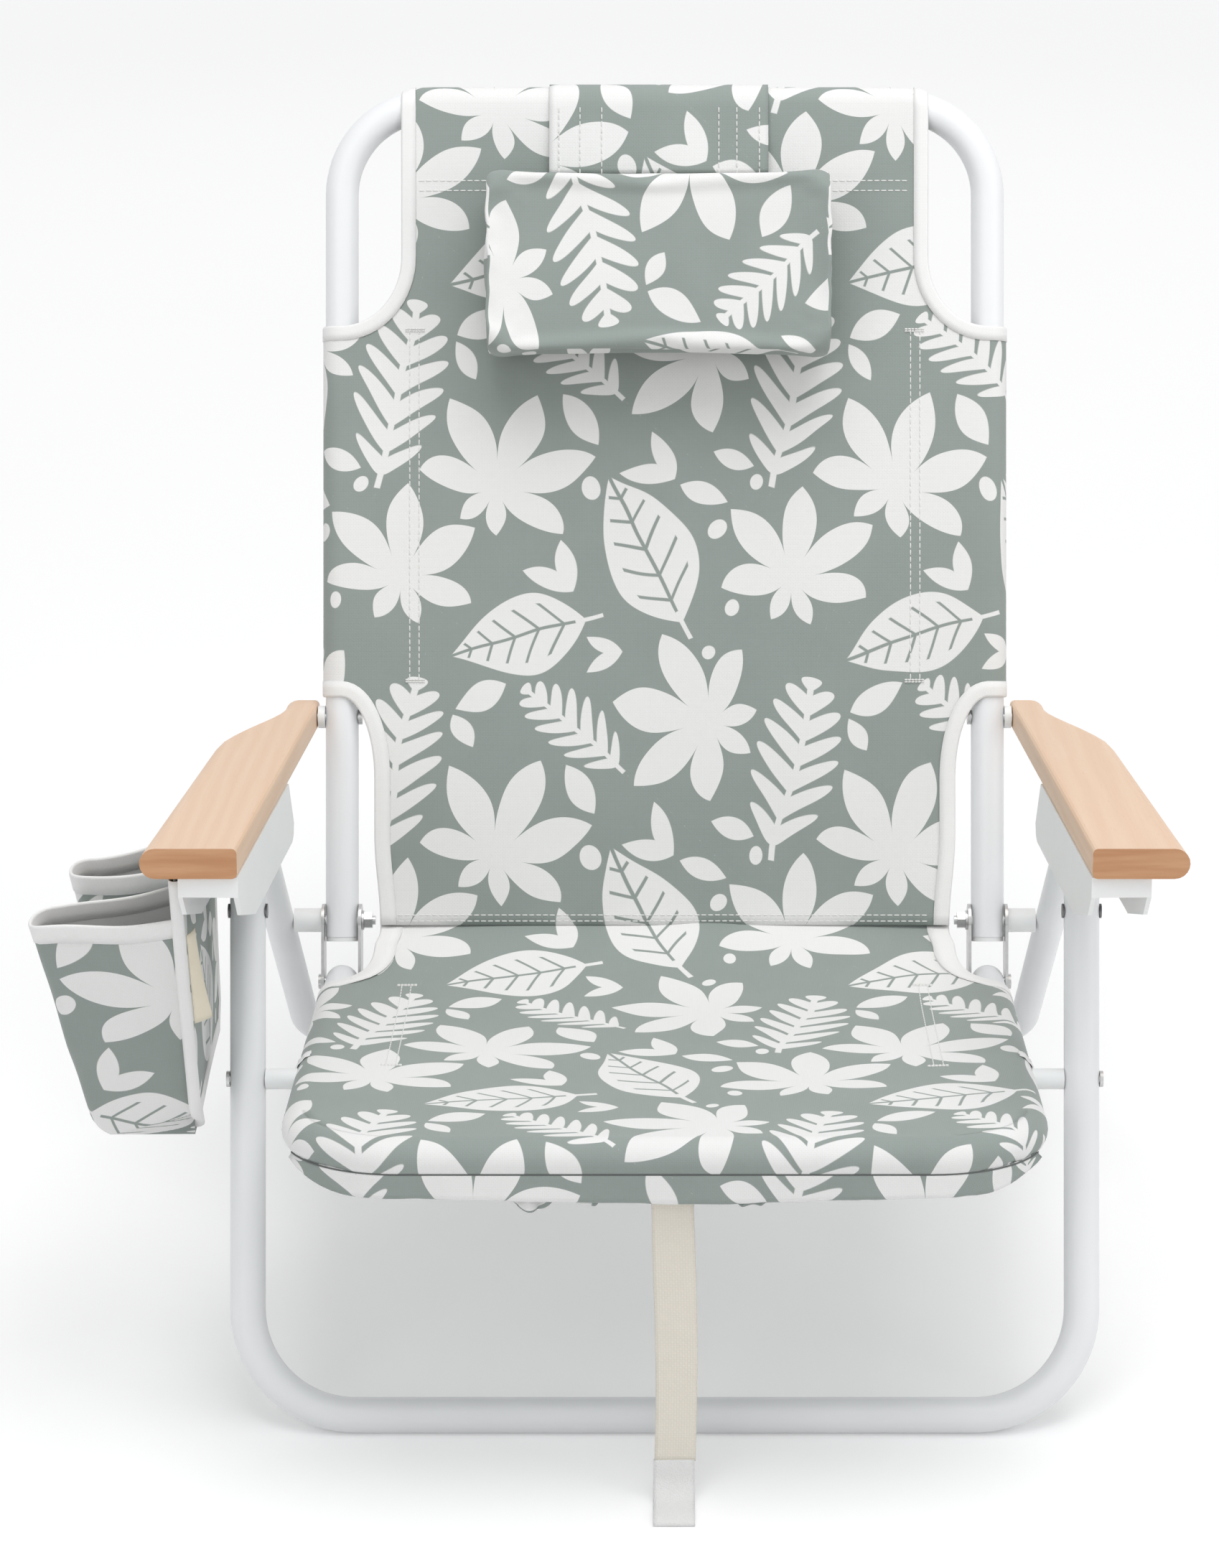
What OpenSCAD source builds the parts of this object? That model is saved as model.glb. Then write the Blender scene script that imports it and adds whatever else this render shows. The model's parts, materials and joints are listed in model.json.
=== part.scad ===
/* [Tubes] */
// Diameter of the front leg, seat and back tubes
tube_d = 22; // [19:1:25]
// Diameter of the rear leg tube
rear_tube_d = 20; // [18:1:22]
// Bend radius of the front leg corners, at the tube centre
leg_bend = 66; // [50:1:80]
// Bend radius of the seat and back corners, at the tube centre
frame_bend = 60; // [45:1:75]

/* [Stance] */
// Lean of the back and of the front legs from upright, in degrees
recline = 23; // [18:1:27]
// Rise of the seat and of the arms towards the front, in degrees
seat_slope = 10; // [6:1:13]
// Slope of the rear legs from the floor, in degrees
rear_leg_slope = 43.3; // [41:0.1:46]

/* [Widths] */
// Half the spacing of the leg tubes
leg_x = 258; // [256:1:264]
// Half the spacing of the seat and back tubes
frame_x = 216; // [214:1:218]

/* [Lengths] */
// Front leg from the floor bar up to the seat pivot
leg_low = 208; // [195:1:220]
// Front leg from the seat pivot up to the pin under the arm
leg_high = 152; // [140:1:154]
// Seat from its pivot back to the hinge
seat_rear = 224; // [215:1:235]
// Seat from its pivot to the front bar
seat_front = 156; // [140:1:170]
// Spacing of the two bolts in a hinge plate
plate_pitch = 41; // [38:1:46]
// Back from the upper hinge bolt to the top bar
back_len = 545; // [500:1:600]
// Back from the upper hinge bolt to the arm bolt
arm_up = 136; // [132:1:145]
// Rear leg from the upper hinge bolt to its top end
rear_leg_high = 172; // [150:1:176]

/* [Arms] */
// Arm from its bolt to the front end
arm_front = 405; // [380:1:420]
// Arm from its bolt to the rear end
arm_rear = 12; // [10:1:16]
// Thickness of the wood
arm_t = 18; // [15:1:22]
// Width of the bracket under the arm
bracket_w = 35; // [33:1:38]
// Depth of the bracket walls below the wood
bracket_h = 41; // [38:1:44]

/* [Cloth] */
// Thickness of the woven cloth
cloth_t = 1.2; // [0.8:0.1:1.6]
// Height of the head pillow
pillow_h = 126; // [110:1:150]
// Width of the head pillow
pillow_w = 230; // [200:1:260]
// Thickness of the head pillow
pillow_t = 58; // [45:1:70]
// Width of the closure strap
strap_w = 25; // [20:1:30]

/* [Hidden] */
$fn = 48;

// Radii, running gaps and the flat strips that the floor bars stand on
tube_r = tube_d / 2;
rear_r = rear_tube_d / 2;
bolt_r = 3;
bore_r = bolt_r + 0.05;
gap = 0.3;
foot_flat = 0.4;
plate_t = 2;
plate_waist = 0.5;
sleeve_in = tube_r + 0.2;
sleeve_out = sleeve_in + cloth_t;

// Places in the side view, as distance back from the floor bar and height
lean_up = [sin(recline), cos(recline)];
seat_back = [cos(seat_slope), -sin(seat_slope)];
floor_bar = [0, tube_r - foot_flat];
seat_pin = floor_bar + leg_low * lean_up;
rack_pin = seat_pin + leg_high * lean_up;
low_bolt = seat_pin + seat_rear * seat_back;
high_bolt = low_bolt + plate_pitch * lean_up;
arm_bolt = high_bolt + arm_up * lean_up;
rear_leg_low = (high_bolt[1] - rear_r + foot_flat) / sin(rear_leg_slope);
seat_len = seat_rear + seat_front;

// Faces across the chair, from the middle outwards
frame_in = frame_x - tube_r;
frame_out = frame_x + tube_r;
plate_in = frame_in - gap - plate_t;
plate_out = frame_out + gap;
arm_in = frame_out + 5;
bracket_wall = 2.6;

// Shared shapes

// A turned pin across the chair at a place in the side view
module cross_pin(place, x0, x1, r) {
    translate([x0, place[0], place[1]]) rotate([0, 90, 0]) cylinder(h = x1 - x0, r = r);
}

// A spacer tube across the chair
module cross_ring(place, x0, x1, r) {
    difference() {
        cross_pin(place, x0, x1, r);
        cross_pin(place, x0 - 1, x1 + 1, bore_r);
    }
}

// The same piece on both sides of the chair
module both_sides() {
    children();
    mirror([1, 0, 0]) children();
}

// Local frames: Z along the leaning tube and Y backwards
module lean_frame(place) {
    translate([0, place[0], place[1]]) rotate([-recline, 0, 0]) children();
}

// Local frame of the seat and the arms: Y backwards along the slope
module slope_frame(place) {
    translate([0, place[0], place[1]]) rotate([-seat_slope, 0, 0]) children();
}

// Local frame of the rear legs: Z up along the tube from the upper hinge bolt
module rear_frame() {
    translate([0, high_bolt[0], high_bolt[1]]) rotate([90 - rear_leg_slope, 0, 0]) children();
}

// A quarter bend in the XZ plane, from the cross bar at the bottom to the side tube
module bend(radius, r) {
    translate([0, 0, radius]) rotate([90, 0, 0]) rotate([0, 0, -90])
        rotate_extrude(angle = 90) translate([radius, 0]) circle(r);
}

// A bent tube: cross bar at z = 0 and two side tubes up to the given height
module u_tube(half, height, radius, r) {
    translate([radius - half, 0, 0]) rotate([0, 90, 0]) cylinder(h = 2 * (half - radius), r = r);
    both_sides() {
        translate([half, 0, radius]) cylinder(h = height - radius, r = r);
        translate([half - radius, 0, 0]) bend(radius, r);
    }
}

// A bore across both side tubes of a bent tube
module tube_bore(place) {
    both_sides() cross_pin(place, frame_in - 20, leg_x + 30, bore_r);
}

// Half a ball that closes a tube end, pointing up
module dome(r) {
    intersection() {
        sphere(r);
        translate([-r, -r, 0]) cube([2 * r, 2 * r, r]);
    }
}

// Everything above the floor
module above_floor() {
    intersection() {
        children();
        translate([-500, -500, 0]) cube([1000, 1500, 1000]);
    }
}

// A closed skin through rings of points, with flat ends
module loft(rings) {
    n = len(rings[0]);
    m = len(rings);
    sides = [for (i = [0 : m - 2], j = [0 : n - 1])
        each [[i * n + j, i * n + (j + 1) % n, (i + 1) * n + j],
              [i * n + (j + 1) % n, (i + 1) * n + (j + 1) % n, (i + 1) * n + j]]];
    ends = [for (j = [1 : n - 2]) each [[0, j + 1, j], [(m - 1) * n, (m - 1) * n + j, (m - 1) * n + j + 1]]];
    polyhedron(points = [for (ring = rings) each ring], faces = concat(sides, ends), convexity = 6);
}

function smooth(t) = let (c = min(max(t, 0), 1)) c * c * (3 - 2 * c);

// Front and rear legs

// Distances of the rack pin and of the leg rivet below the top of the tube
pin_drop = 6;
rivet_drop = 48;

module front_leg_frame() {
    color("white") difference() {
        above_floor() lean_frame(floor_bar) u_tube(leg_x, leg_low + leg_high, leg_bend, tube_r);
        tube_bore(seat_pin);
        tube_bore(rack_pin - pin_drop * lean_up);
        tube_bore(rack_pin - rivet_drop * lean_up);
    }
}

module front_leg_caps() {
    color("white") both_sides() lean_frame(rack_pin) translate([leg_x, 0, 0.05]) dome(tube_r);
}

module rack_pins() {
    reach = 13.2;
    color("silver") both_sides() cross_pin(rack_pin - pin_drop * lean_up, leg_x - reach, leg_x + reach, bolt_r);
}

module leg_rivets() {
    place = rack_pin - rivet_drop * lean_up;
    color("dimgray") both_sides() {
        cross_pin(place, leg_x - tube_r - 0.6, leg_x + tube_r + 0.6, bolt_r);
        cross_pin(place, leg_x + tube_r + 0.1, leg_x + tube_r + 1.2, 4.5);
        cross_pin(place, leg_x - tube_r - 1.2, leg_x - tube_r - 0.1, 4.5);
    }
}

module rear_leg_frame() {
    color("white") difference() {
        above_floor() rear_frame() translate([0, 0, -rear_leg_low])
            u_tube(leg_x, rear_leg_low + rear_leg_high, leg_bend, rear_r);
        tube_bore(high_bolt);
    }
}

module rear_leg_caps() {
    color("white") both_sides() rear_frame() translate([leg_x, 0, rear_leg_high + 0.05]) dome(rear_r);
}

// Seat

// Distance of the cloth sleeves on the seat tubes in front of the hinge
seat_sleeve_rear = 44;
// Half width of the cloth between the hinges
hinge_half = 183;
// Bottom of the front lip below the bar's axis, its place in front of the axis and the seam that holds it
hem_drop = 27;
lip_out = 8.6;
lip_sewn = 8.2;
// Half the width that the lip hangs at full depth, and where it runs out
lip_full = 160;
lip_end = 202;
// Outer radius of the seat pivot spacers
spacer_r = 6.5;

module seat_frame() {
    color("white") difference() {
        slope_frame(low_bolt) union() {
            translate([0, -seat_len, 0]) rotate([-90, 0, 0]) u_tube(frame_x, seat_len, frame_bend, tube_r);
            both_sides() translate([frame_x, 0, 0]) rotate([-90, 0, 0]) dome(tube_r);
        }
        tube_bore(low_bolt);
        tube_bore(seat_pin);
    }
}

// Outline of the seat cloth seen from above, with the hinge cut-outs
module seat_outline() {
    front = frame_x - frame_bend;
    rear_r_cut = 30;
    difference() {
        union() {
            translate([-frame_x, frame_bend - seat_len]) square([2 * frame_x, seat_len - frame_bend - 6]);
            translate([-front, -seat_len]) square([2 * front, frame_bend + 1]);
            for (side = [-1, 1]) translate([side * front, frame_bend - seat_len]) circle(frame_bend);
        }
        for (side = [-1, 1]) {
            translate([side * (hinge_half + rear_r_cut), -seat_sleeve_rear + rear_r_cut]) circle(rear_r_cut);
            translate([side > 0 ? hinge_half : -frame_x - 30, rear_r_cut - seat_sleeve_rear])
                square([frame_x + 30 - hinge_half, 60]);
            translate([side > 0 ? hinge_half + rear_r_cut : -frame_x - 30, -seat_sleeve_rear])
                square([frame_x + 30 - hinge_half - rear_r_cut, 60]);
        }
    }
}

// The cloth sleeve that goes round the side tubes, the corners and the front bar
module seat_sleeve() {
    translate([0, -seat_len, 0]) rotate([-90, 0, 0]) difference() {
        u_tube(frame_x, seat_len - seat_sleeve_rear, frame_bend, sleeve_out);
        u_tube(frame_x, seat_len, frame_bend, sleeve_in);
    }
}

// Plan of the seat's front with its round corners, grown outwards from the tube's axis
module front_plan(grown) {
    half = frame_x - frame_bend;
    for (side = [-1, 1]) translate([side * half, frame_bend - seat_len]) circle(frame_bend + grown);
    translate([-half, -seat_len - grown]) square([2 * half, frame_bend]);
}

// The lip that hangs from the front of the sleeve and runs out round the corners
module seat_lip() {
    intersection() {
        translate([0, 0, -hem_drop]) linear_extrude(hem_drop - lip_sewn) difference() {
            front_plan(lip_out + cloth_t / 2);
            front_plan(lip_out - cloth_t / 2);
            translate([-2 * frame_x, frame_bend - seat_len]) square([4 * frame_x, frame_x]);
        }
        rotate([90, 0, 0]) linear_extrude(2 * seat_len) polygon([
            [-lip_end, -lip_sewn], [-lip_end + 16, 4 - hem_drop], [-lip_full, -hem_drop],
            [lip_full, -hem_drop], [lip_end - 16, 4 - hem_drop], [lip_end, -lip_sewn]]);
    }
}

module seat_fabric() {
    color("darkseagreen") difference() {
        slope_frame(low_bolt) union() {
            translate([0, 0, sleeve_in]) linear_extrude(cloth_t) seat_outline();
            seat_sleeve();
            seat_lip();
        }
        both_sides() cross_pin(seat_pin, frame_in - 8, leg_x, spacer_r + 0.5);
    }
}

module seat_pivot_bolts() {
    color("silver") both_sides() {
        cross_pin(seat_pin, frame_in - 2.4, leg_x + tube_r + 2, bolt_r);
        cross_pin(seat_pin, frame_in - 2.6, frame_in - 0.1, 5);
        cross_pin(seat_pin, leg_x + tube_r + 0.1, leg_x + tube_r + 2.2, 5);
    }
}

module seat_pivot_spacers() {
    color("white") both_sides() cross_ring(seat_pin, frame_out + 0.2, leg_x - tube_r - 0.1, spacer_r);
}

// Closure strap

strap_t = 1.6;
strap_bend = 14;
strap_lift = 0.4;
// Length that lies on the floor and length of the hook end
strap_floor = 22;
hook_up = 20;

// Where the strap leaves the hem
function strap_top() = low_bolt - seat_len * seat_back - [3, sleeve_out + 0.2];

// Side view of the strap: hanging run, bend and floor run, from one height down
module strap_side(top, bottom_only) {
    drop = strap_lift + strap_bend;
    translate([0, drop]) square([strap_t, top - drop]);
    if (bottom_only) {
        translate([-strap_bend + strap_t, drop]) intersection() {
            difference() {
                circle(strap_bend);
                circle(strap_bend - strap_t);
            }
            translate([0, -strap_bend]) square(strap_bend);
        }
        translate([-strap_bend - strap_floor + strap_t, strap_lift]) square([strap_floor, strap_t]);
    }
}

// Turns a side view drawn in depth and height into a band across the chair
module strap_band() {
    translate([-strap_w / 2, strap_top()[0], 0]) rotate([90, 0, 90]) linear_extrude(strap_w) children();
}

module closure_strap() {
    color("blanchedalmond") strap_band() difference() {
        strap_side(strap_top()[1], false);
        translate([-50, -1]) square([100, strap_lift + strap_bend + hook_up + 1]);
    }
}

module strap_hook_end() {
    color("white") strap_band() strap_side(strap_lift + strap_bend + hook_up, true);
}

// Hinges

module hinge_plate(x0) {
    difference() {
        union() {
            cross_pin(low_bolt, x0, x0 + plate_t, tube_r);
            cross_pin(high_bolt, x0, x0 + plate_t, tube_r);
            lean_frame(low_bolt) translate([x0, plate_waist - tube_r, 0])
                cube([plate_t, tube_d - 2 * plate_waist, plate_pitch]);
        }
        cross_pin(low_bolt, x0 - 1, x0 + plate_t + 1, bore_r);
        cross_pin(high_bolt, x0 - 1, x0 + plate_t + 1, bore_r);
    }
}

module hinge_plates_right() {
    color("silver") {
        hinge_plate(plate_in);
        hinge_plate(plate_out);
    }
}

module hinge_plates_left() {
    mirror([1, 0, 0]) hinge_plates_right();
}

module lower_hinge_bolts() {
    x_out = plate_out + plate_t;
    color("silver") both_sides() {
        cross_pin(low_bolt, plate_in - 2, x_out + 2, bolt_r);
        cross_pin(low_bolt, plate_in - 2.4, plate_in - 0.1, 5);
        cross_pin(low_bolt, x_out + 0.1, x_out + 2.4, 5);
    }
}

module upper_hinge_bolts() {
    color("silver") both_sides() {
        cross_pin(high_bolt, plate_in - 9, leg_x + rear_r + 2, bolt_r);
        cross_pin(high_bolt, leg_x + rear_r + 0.1, leg_x + rear_r + 2.4, 5);
    }
}

module hinge_nuts() {
    color("silver") both_sides() {
        difference() {
            translate([plate_in - 7, high_bolt[0], high_bolt[1]]) rotate([0, 90, 0])
                cylinder(h = 5.5, r = 5.8, $fn = 6);
            cross_pin(high_bolt, plate_in - 10, plate_in, bore_r);
        }
        cross_ring(high_bolt, plate_in - 1.4, plate_in - 0.1, 6.5);
    }
}

module hinge_spacers() {
    color("white") both_sides()
        cross_ring(high_bolt, plate_out + plate_t + 0.1, leg_x - rear_r - 0.1, 8);
}

bush_r = 4.5;

module back_bushes() {
    color("white") both_sides() cross_ring(high_bolt, frame_in + 0.1, frame_out - 0.1, bush_r);
}

// Back

// Length of the back tube below the upper hinge bolt
back_tail = 11;
// Stretch of the back tubes that the cloth goes round
wrap_low = 155;
wrap_high = 396;
// Half width of the cloth at the top bar
top_half = 169;

// Slack of the cloth round the bent tube
bend_room = 0.1;

module back_frame() {
    color("white") difference() {
        lean_frame(high_bolt) translate([0, 0, back_len]) mirror([0, 0, 1])
            u_tube(frame_x, back_len + back_tail, frame_bend, tube_r);
        tube_bore(arm_bolt);
        both_sides() cross_pin(high_bolt, frame_in - 1, frame_out + 1, bush_r + 0.05);
    }
}

module back_plugs() {
    color("whitesmoke") both_sides() lean_frame(high_bolt) translate([frame_x, 0, -back_tail - 3.05])
        cylinder(h = 3, r = tube_r - 0.4);
}

// A round-cornered cut-out beside the cloth; the corner is at the origin, the gap towards +X and +Y
module side_gap(radius) {
    translate([radius, radius]) circle(radius);
    translate([0, radius]) square([100, 300]);
    translate([radius, 0]) square([100, 300]);
}

// Outline of the back cloth seen from the front
module back_outline() {
    difference() {
        translate([-frame_x, 2]) square([2 * frame_x, back_len - 2]);
        for (side = [0, 1]) mirror([side, 0]) {
            translate([top_half, wrap_high]) side_gap(47);
            translate([hinge_half, wrap_low]) mirror([0, 1]) side_gap(60);
        }
    }
}

module back_fabric() {
    color("darkseagreen") lean_frame(high_bolt) difference() {
        union() {
            translate([0, -sleeve_in, 0]) rotate([90, 0, 0]) linear_extrude(cloth_t) back_outline();
            both_sides() translate([frame_x, 0, wrap_low]) difference() {
                cylinder(h = wrap_high - wrap_low, r = sleeve_out);
                translate([0, 0, -1]) cylinder(h = wrap_high - wrap_low + 2, r = sleeve_in);
            }
            translate([-top_half, 0, back_len]) rotate([0, 90, 0]) difference() {
                cylinder(h = 2 * top_half, r = sleeve_out);
                translate([0, 0, -1]) cylinder(h = 2 * top_half + 2, r = sleeve_in);
            }
        }
        // room for the tube where it bends down out of the top sleeve
        translate([0, 0, back_len]) mirror([0, 0, 1])
            u_tube(frame_x, 1.5 * frame_bend, frame_bend, tube_r + bend_room);
    }
}

// Head pillow

pillow_mid = 441;
pillow_x = -4;
flap_half = 73;
flap_in = sleeve_out + 0.3;
flap_tail = 90;

// The flap from the pillow over the top bar and down behind it
module pillow_flap() {
    flap_low = pillow_mid + pillow_h / 2 + 1.5;
    color("darkseagreen") lean_frame(high_bolt) translate([pillow_x - flap_half, 0, 0])
        rotate([90, 0, 90]) linear_extrude(2 * flap_half) {
            translate([0, back_len]) intersection() {
                difference() {
                    circle(flap_in + cloth_t);
                    circle(flap_in);
                }
                translate([-50, 0]) square([100, 50]);
            }
            translate([-flap_in - cloth_t, flap_low]) square([cloth_t, back_len - flap_low]);
            translate([flap_in, back_len - flap_tail]) square([cloth_t, flap_tail]);
        }
}

// Outline of the pillow at one level of its thickness: full corners and sides drawn in between them
function pillow_ring(depth, fill) =
    [for (k = [0 : 39])
        let (a = 9 * k,
             c = cos(a),
             s = sin(a),
             size = pow(pow(abs(c), 5) + pow(abs(s), 5), -1 / 5),
             draw = 1 - 0.035 * pow(cos(2 * a), 2))
        [pillow_w / 2 * fill * size * c * draw, depth, pillow_h / 2 * fill * size * s * draw]];

// Crowned cushion, fuller at the front than where it lies on the back
module pillow() {
    levels = [for (i = [0 : 10]) -cos(18 * i)];
    rings = [for (t = levels) pillow_ring(
        -pillow_t / 2 * (1 - t) - sleeve_out - 0.6,
        0.55 + 0.45 * pow(1 - pow(abs(t), 3), 0.5))];
    color("darkseagreen") lean_frame(high_bolt) translate([pillow_x, 0, pillow_mid]) loft(rings);
}

// Arms

arm_len = arm_front + arm_rear;
arm_splay = 15.5;
neck_w = 23;
screw_at = [178, 360];

function arm_inner(d) = arm_in + arm_splay * d / arm_len;
function arm_outer(d) = arm_in + neck_w + 33 * smooth((d - 10) / 125) + 16 * max(d - 110, 0) / (arm_len - 110);

// Cross-section of the wood: small rounds inside, a full round outside
function arm_ring(d) =
    let (x0 = arm_inner(d), x1 = arm_outer(d), h = arm_t / 2, r = 3)
    [for (p = concat(
        [for (a = [180 : 30 : 270]) [x0 + r + r * cos(a), -h + r + r * sin(a)]],
        [for (a = [-90 : 18 : 90]) [x1 - h + h * cos(a), h * sin(a)]],
        [for (a = [90 : 30 : 180]) [x0 + r + r * cos(a), h - r + r * sin(a)]]))
        [p[0], arm_rear - d, p[1]]];

module arm_right() {
    steps = 24;
    color("burlywood") difference() {
        slope_frame(arm_bolt) loft([for (i = [0 : steps]) arm_ring(arm_len * i / steps)]);
        cross_pin(arm_bolt, frame_out, arm_in + 15.5, bore_r);
        slope_frame(arm_bolt) for (d = screw_at)
            translate([leg_x, -d, -arm_t]) cylinder(h = arm_t + 2, r = 2.05);
    }
}

module arm_left() {
    mirror([1, 0, 0]) arm_right();
}

// Ends of the bracket from the arm bolt and from the arm's front end, and its turn along the arm's inner edge
bracket_rear = 160;
bracket_nose = 2.5;
bracket_turn = atan(arm_splay / arm_len);
// Thickness of its top plate, height of its front wall, sweep of the front corner and rake of the rear edge
bracket_top = 3;
bracket_lip = 12;
bracket_sweep = 74;
bracket_rake = 23;

// Side wall of the bracket: the front corner is swept away and the rear edge slants back
module bracket_side() {
    top = -arm_t / 2;
    low = top - bracket_h;
    front = bracket_nose - arm_front;
    rear = bracket_rake - bracket_rear;
    polygon([[front, top], [front, top - bracket_lip], [front + 14, top - 26], [front + bracket_sweep, low],
             [rear - 10, low], [rear - 3, low + 3], [rear, low + 10], [-bracket_rear, top]]);
}

module arm_bracket_right() {
    nose = bracket_nose - arm_front;
    color("white") slope_frame(arm_bolt) difference() {
        translate([arm_inner(arm_rear), 0, 0]) rotate([0, 0, bracket_turn]) {
            for (x = [0, bracket_w - bracket_wall])
                translate([x, 0, 0]) rotate([90, 0, 90]) linear_extrude(bracket_wall) bracket_side();
            translate([0, nose, -arm_t / 2 - bracket_top])
                cube([bracket_w, -bracket_rear - nose, bracket_top]);
            translate([0, nose, -arm_t / 2 - bracket_lip]) cube([bracket_w, bracket_wall, bracket_lip]);
        }
        for (d = screw_at) translate([leg_x, -d, -arm_t]) cylinder(h = arm_t, r = 2.05);
    }
}

module arm_bracket_left() {
    mirror([1, 0, 0]) arm_bracket_right();
}

module bracket_screws() {
    color("silver") both_sides() slope_frame(arm_bolt) for (d = screw_at)
        translate([leg_x, -d, -arm_t / 2 - bracket_top]) {
            translate([0, 0, -1.9]) cylinder(h = 1.8, r = 4);
            translate([0, 0, -1.9]) cylinder(h = 13, r = 2);
        }
}

module arm_bolts() {
    color("silver") both_sides() {
        cross_pin(arm_bolt, frame_in - 2, arm_in + 15, bolt_r);
        cross_pin(arm_bolt, frame_in - 2.6, frame_in - 0.1, 5);
    }
}

module arm_bushes() {
    color("white") both_sides() cross_ring(arm_bolt, frame_out + 0.2, arm_in - 0.2, 7.5);
}

// Cloth organiser under the left arm

panel_x = 285;
panel_t = 2;
pocket_t = 1.6;
// Front edge of the organiser behind the front end of the arm, and of its two pockets behind that edge
pouch_back = 10;
front_pocket_at = 16;
rear_pocket_at = 106;
// Reach of the two pockets out from the panel, the height of their rims, their depth and their slant back
front_out = 87;
rear_out = 75;
front_rim = 348;
rear_rim = 334;
front_deep = 158;
rear_deep = 146;
front_slant = 44;
rear_slant = 26;
arm_tip = arm_bolt - arm_front * seat_back;
pouch_front = arm_tip[0] + pouch_back;

// Height of the arm's underside at a distance behind the organiser's front edge
function arm_under(d) = arm_tip[1] - (d + pouch_back) * tan(seat_slope) - arm_t / 2 / cos(seat_slope);

// Hanging panel with slanted ends, drawn in depth behind its front edge and height
module organiser_panel() {
    low = front_rim - front_deep - 2;
    color("darkseagreen") translate([-panel_x - panel_t, pouch_front, 0]) rotate([90, 0, 90])
        linear_extrude(panel_t) polygon([
            [4, arm_under(4) - 0.1], [214, arm_under(214) - 0.1], [207, low + 18], [194, low],
            [64, low], [54, low + 14]]);
}

// A level of a pocket: long on the panel, a short round end outside
module pocket_level(height, out, len, front, inset) {
    tip = 0.4 * len;
    translate([0, front, height]) linear_extrude(0.1) offset(delta = -inset)
        polygon([[0, 0], [10 - out, -5], [3 - out, -4], [-out, 2], [2 - out, tip - 8],
                 [7 - out, tip - 2], [14 - out, tip + 1], [0, len]]);
}

// Open cloth bag that narrows downwards and slants back with the panel's front edge
module pocket(behind, out, rim, deep, slant) {
    low_out = 0.7 * out;
    rim_len = 54;
    low_len = 46;
    color("darkseagreen") translate([-panel_x - panel_t - 0.1, pouch_front + behind, rim - deep])
        difference() {
            hull() {
                pocket_level(0, low_out, low_len, slant, 0);
                pocket_level(deep - 0.1, out, rim_len, 0, 0);
            }
            hull() {
                pocket_level(pocket_t, low_out, low_len, slant, pocket_t);
                pocket_level(deep, out, rim_len, 0, pocket_t);
            }
        }
}

module front_pocket() {
    pocket(front_pocket_at, front_out, front_rim, front_deep, front_slant);
}

module rear_pocket() {
    pocket(rear_pocket_at, rear_out, rear_rim, rear_deep, rear_slant);
}

// Blank tab sewn to the front edge of the panel
module organiser_tab() {
    slant = 15.5;
    color("wheat") translate([-panel_x + 0.1, pouch_front + 36, front_rim - 76]) rotate([slant, 0, 0])
        cube([1, 13, 66]);
}

front_leg_frame();
front_leg_caps();
rack_pins();
leg_rivets();
rear_leg_frame();
rear_leg_caps();
seat_frame();
seat_fabric();
seat_pivot_bolts();
seat_pivot_spacers();
closure_strap();
strap_hook_end();
hinge_plates_left();
hinge_plates_right();
lower_hinge_bolts();
upper_hinge_bolts();
hinge_nuts();
hinge_spacers();
back_bushes();
back_frame();
back_plugs();
back_fabric();
pillow_flap();
pillow();
arm_bolts();
arm_bushes();
arm_left();
arm_right();
arm_bracket_left();
arm_bracket_right();
bracket_screws();
organiser_panel();
front_pocket();
rear_pocket();
organiser_tab();
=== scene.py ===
import json
from math import cos, pi, radians, sin, sqrt

import bpy
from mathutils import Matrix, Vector, noise


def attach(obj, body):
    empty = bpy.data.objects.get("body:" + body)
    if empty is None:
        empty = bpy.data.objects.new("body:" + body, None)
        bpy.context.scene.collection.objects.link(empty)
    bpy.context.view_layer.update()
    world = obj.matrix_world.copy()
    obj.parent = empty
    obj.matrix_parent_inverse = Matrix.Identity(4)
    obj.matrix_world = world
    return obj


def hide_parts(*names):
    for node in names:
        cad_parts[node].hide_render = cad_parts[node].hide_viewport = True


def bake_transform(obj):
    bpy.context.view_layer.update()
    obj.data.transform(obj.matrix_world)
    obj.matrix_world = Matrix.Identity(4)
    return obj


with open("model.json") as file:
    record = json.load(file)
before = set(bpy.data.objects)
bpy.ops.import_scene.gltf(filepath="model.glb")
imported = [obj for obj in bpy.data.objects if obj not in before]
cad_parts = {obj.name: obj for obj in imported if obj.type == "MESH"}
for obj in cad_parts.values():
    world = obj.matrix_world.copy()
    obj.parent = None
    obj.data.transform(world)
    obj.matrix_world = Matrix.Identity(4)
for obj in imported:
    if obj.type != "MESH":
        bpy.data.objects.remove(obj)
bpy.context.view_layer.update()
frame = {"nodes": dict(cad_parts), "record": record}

scene = bpy.context.scene
nodes = frame["nodes"]

# Places of the CAD model, in millimetres: depth and height in the side view
MM = 0.001
RECLINE = radians(23)
SLOPE = radians(10)
LOW_BOLT = (301.87, 163.17)
HIGH_BOLT = (317.89, 200.91)
POUCH_Y = -17.82
FRAME_X = 216.0
FRAME_BEND = 60.0
SEAT_LEN = 380.0
BACK_LEN = 545.0
SLEEVE_R = 12.2
ARC = 14  # steps round half a sleeve


def placed(x, y, z, at, tilt):
    """A point of a tilted side frame, in the row frame and in metres."""
    c, s = cos(tilt), sin(tilt)
    return Vector((x, at[0] + y * c + z * s, at[1] - y * s + z * c)) * MM


def lean(x, y, z):
    """From the back's frame: z up along the tube from the upper bolt, y backwards."""
    return placed(x, y, z, HIGH_BOLT, RECLINE)


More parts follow.
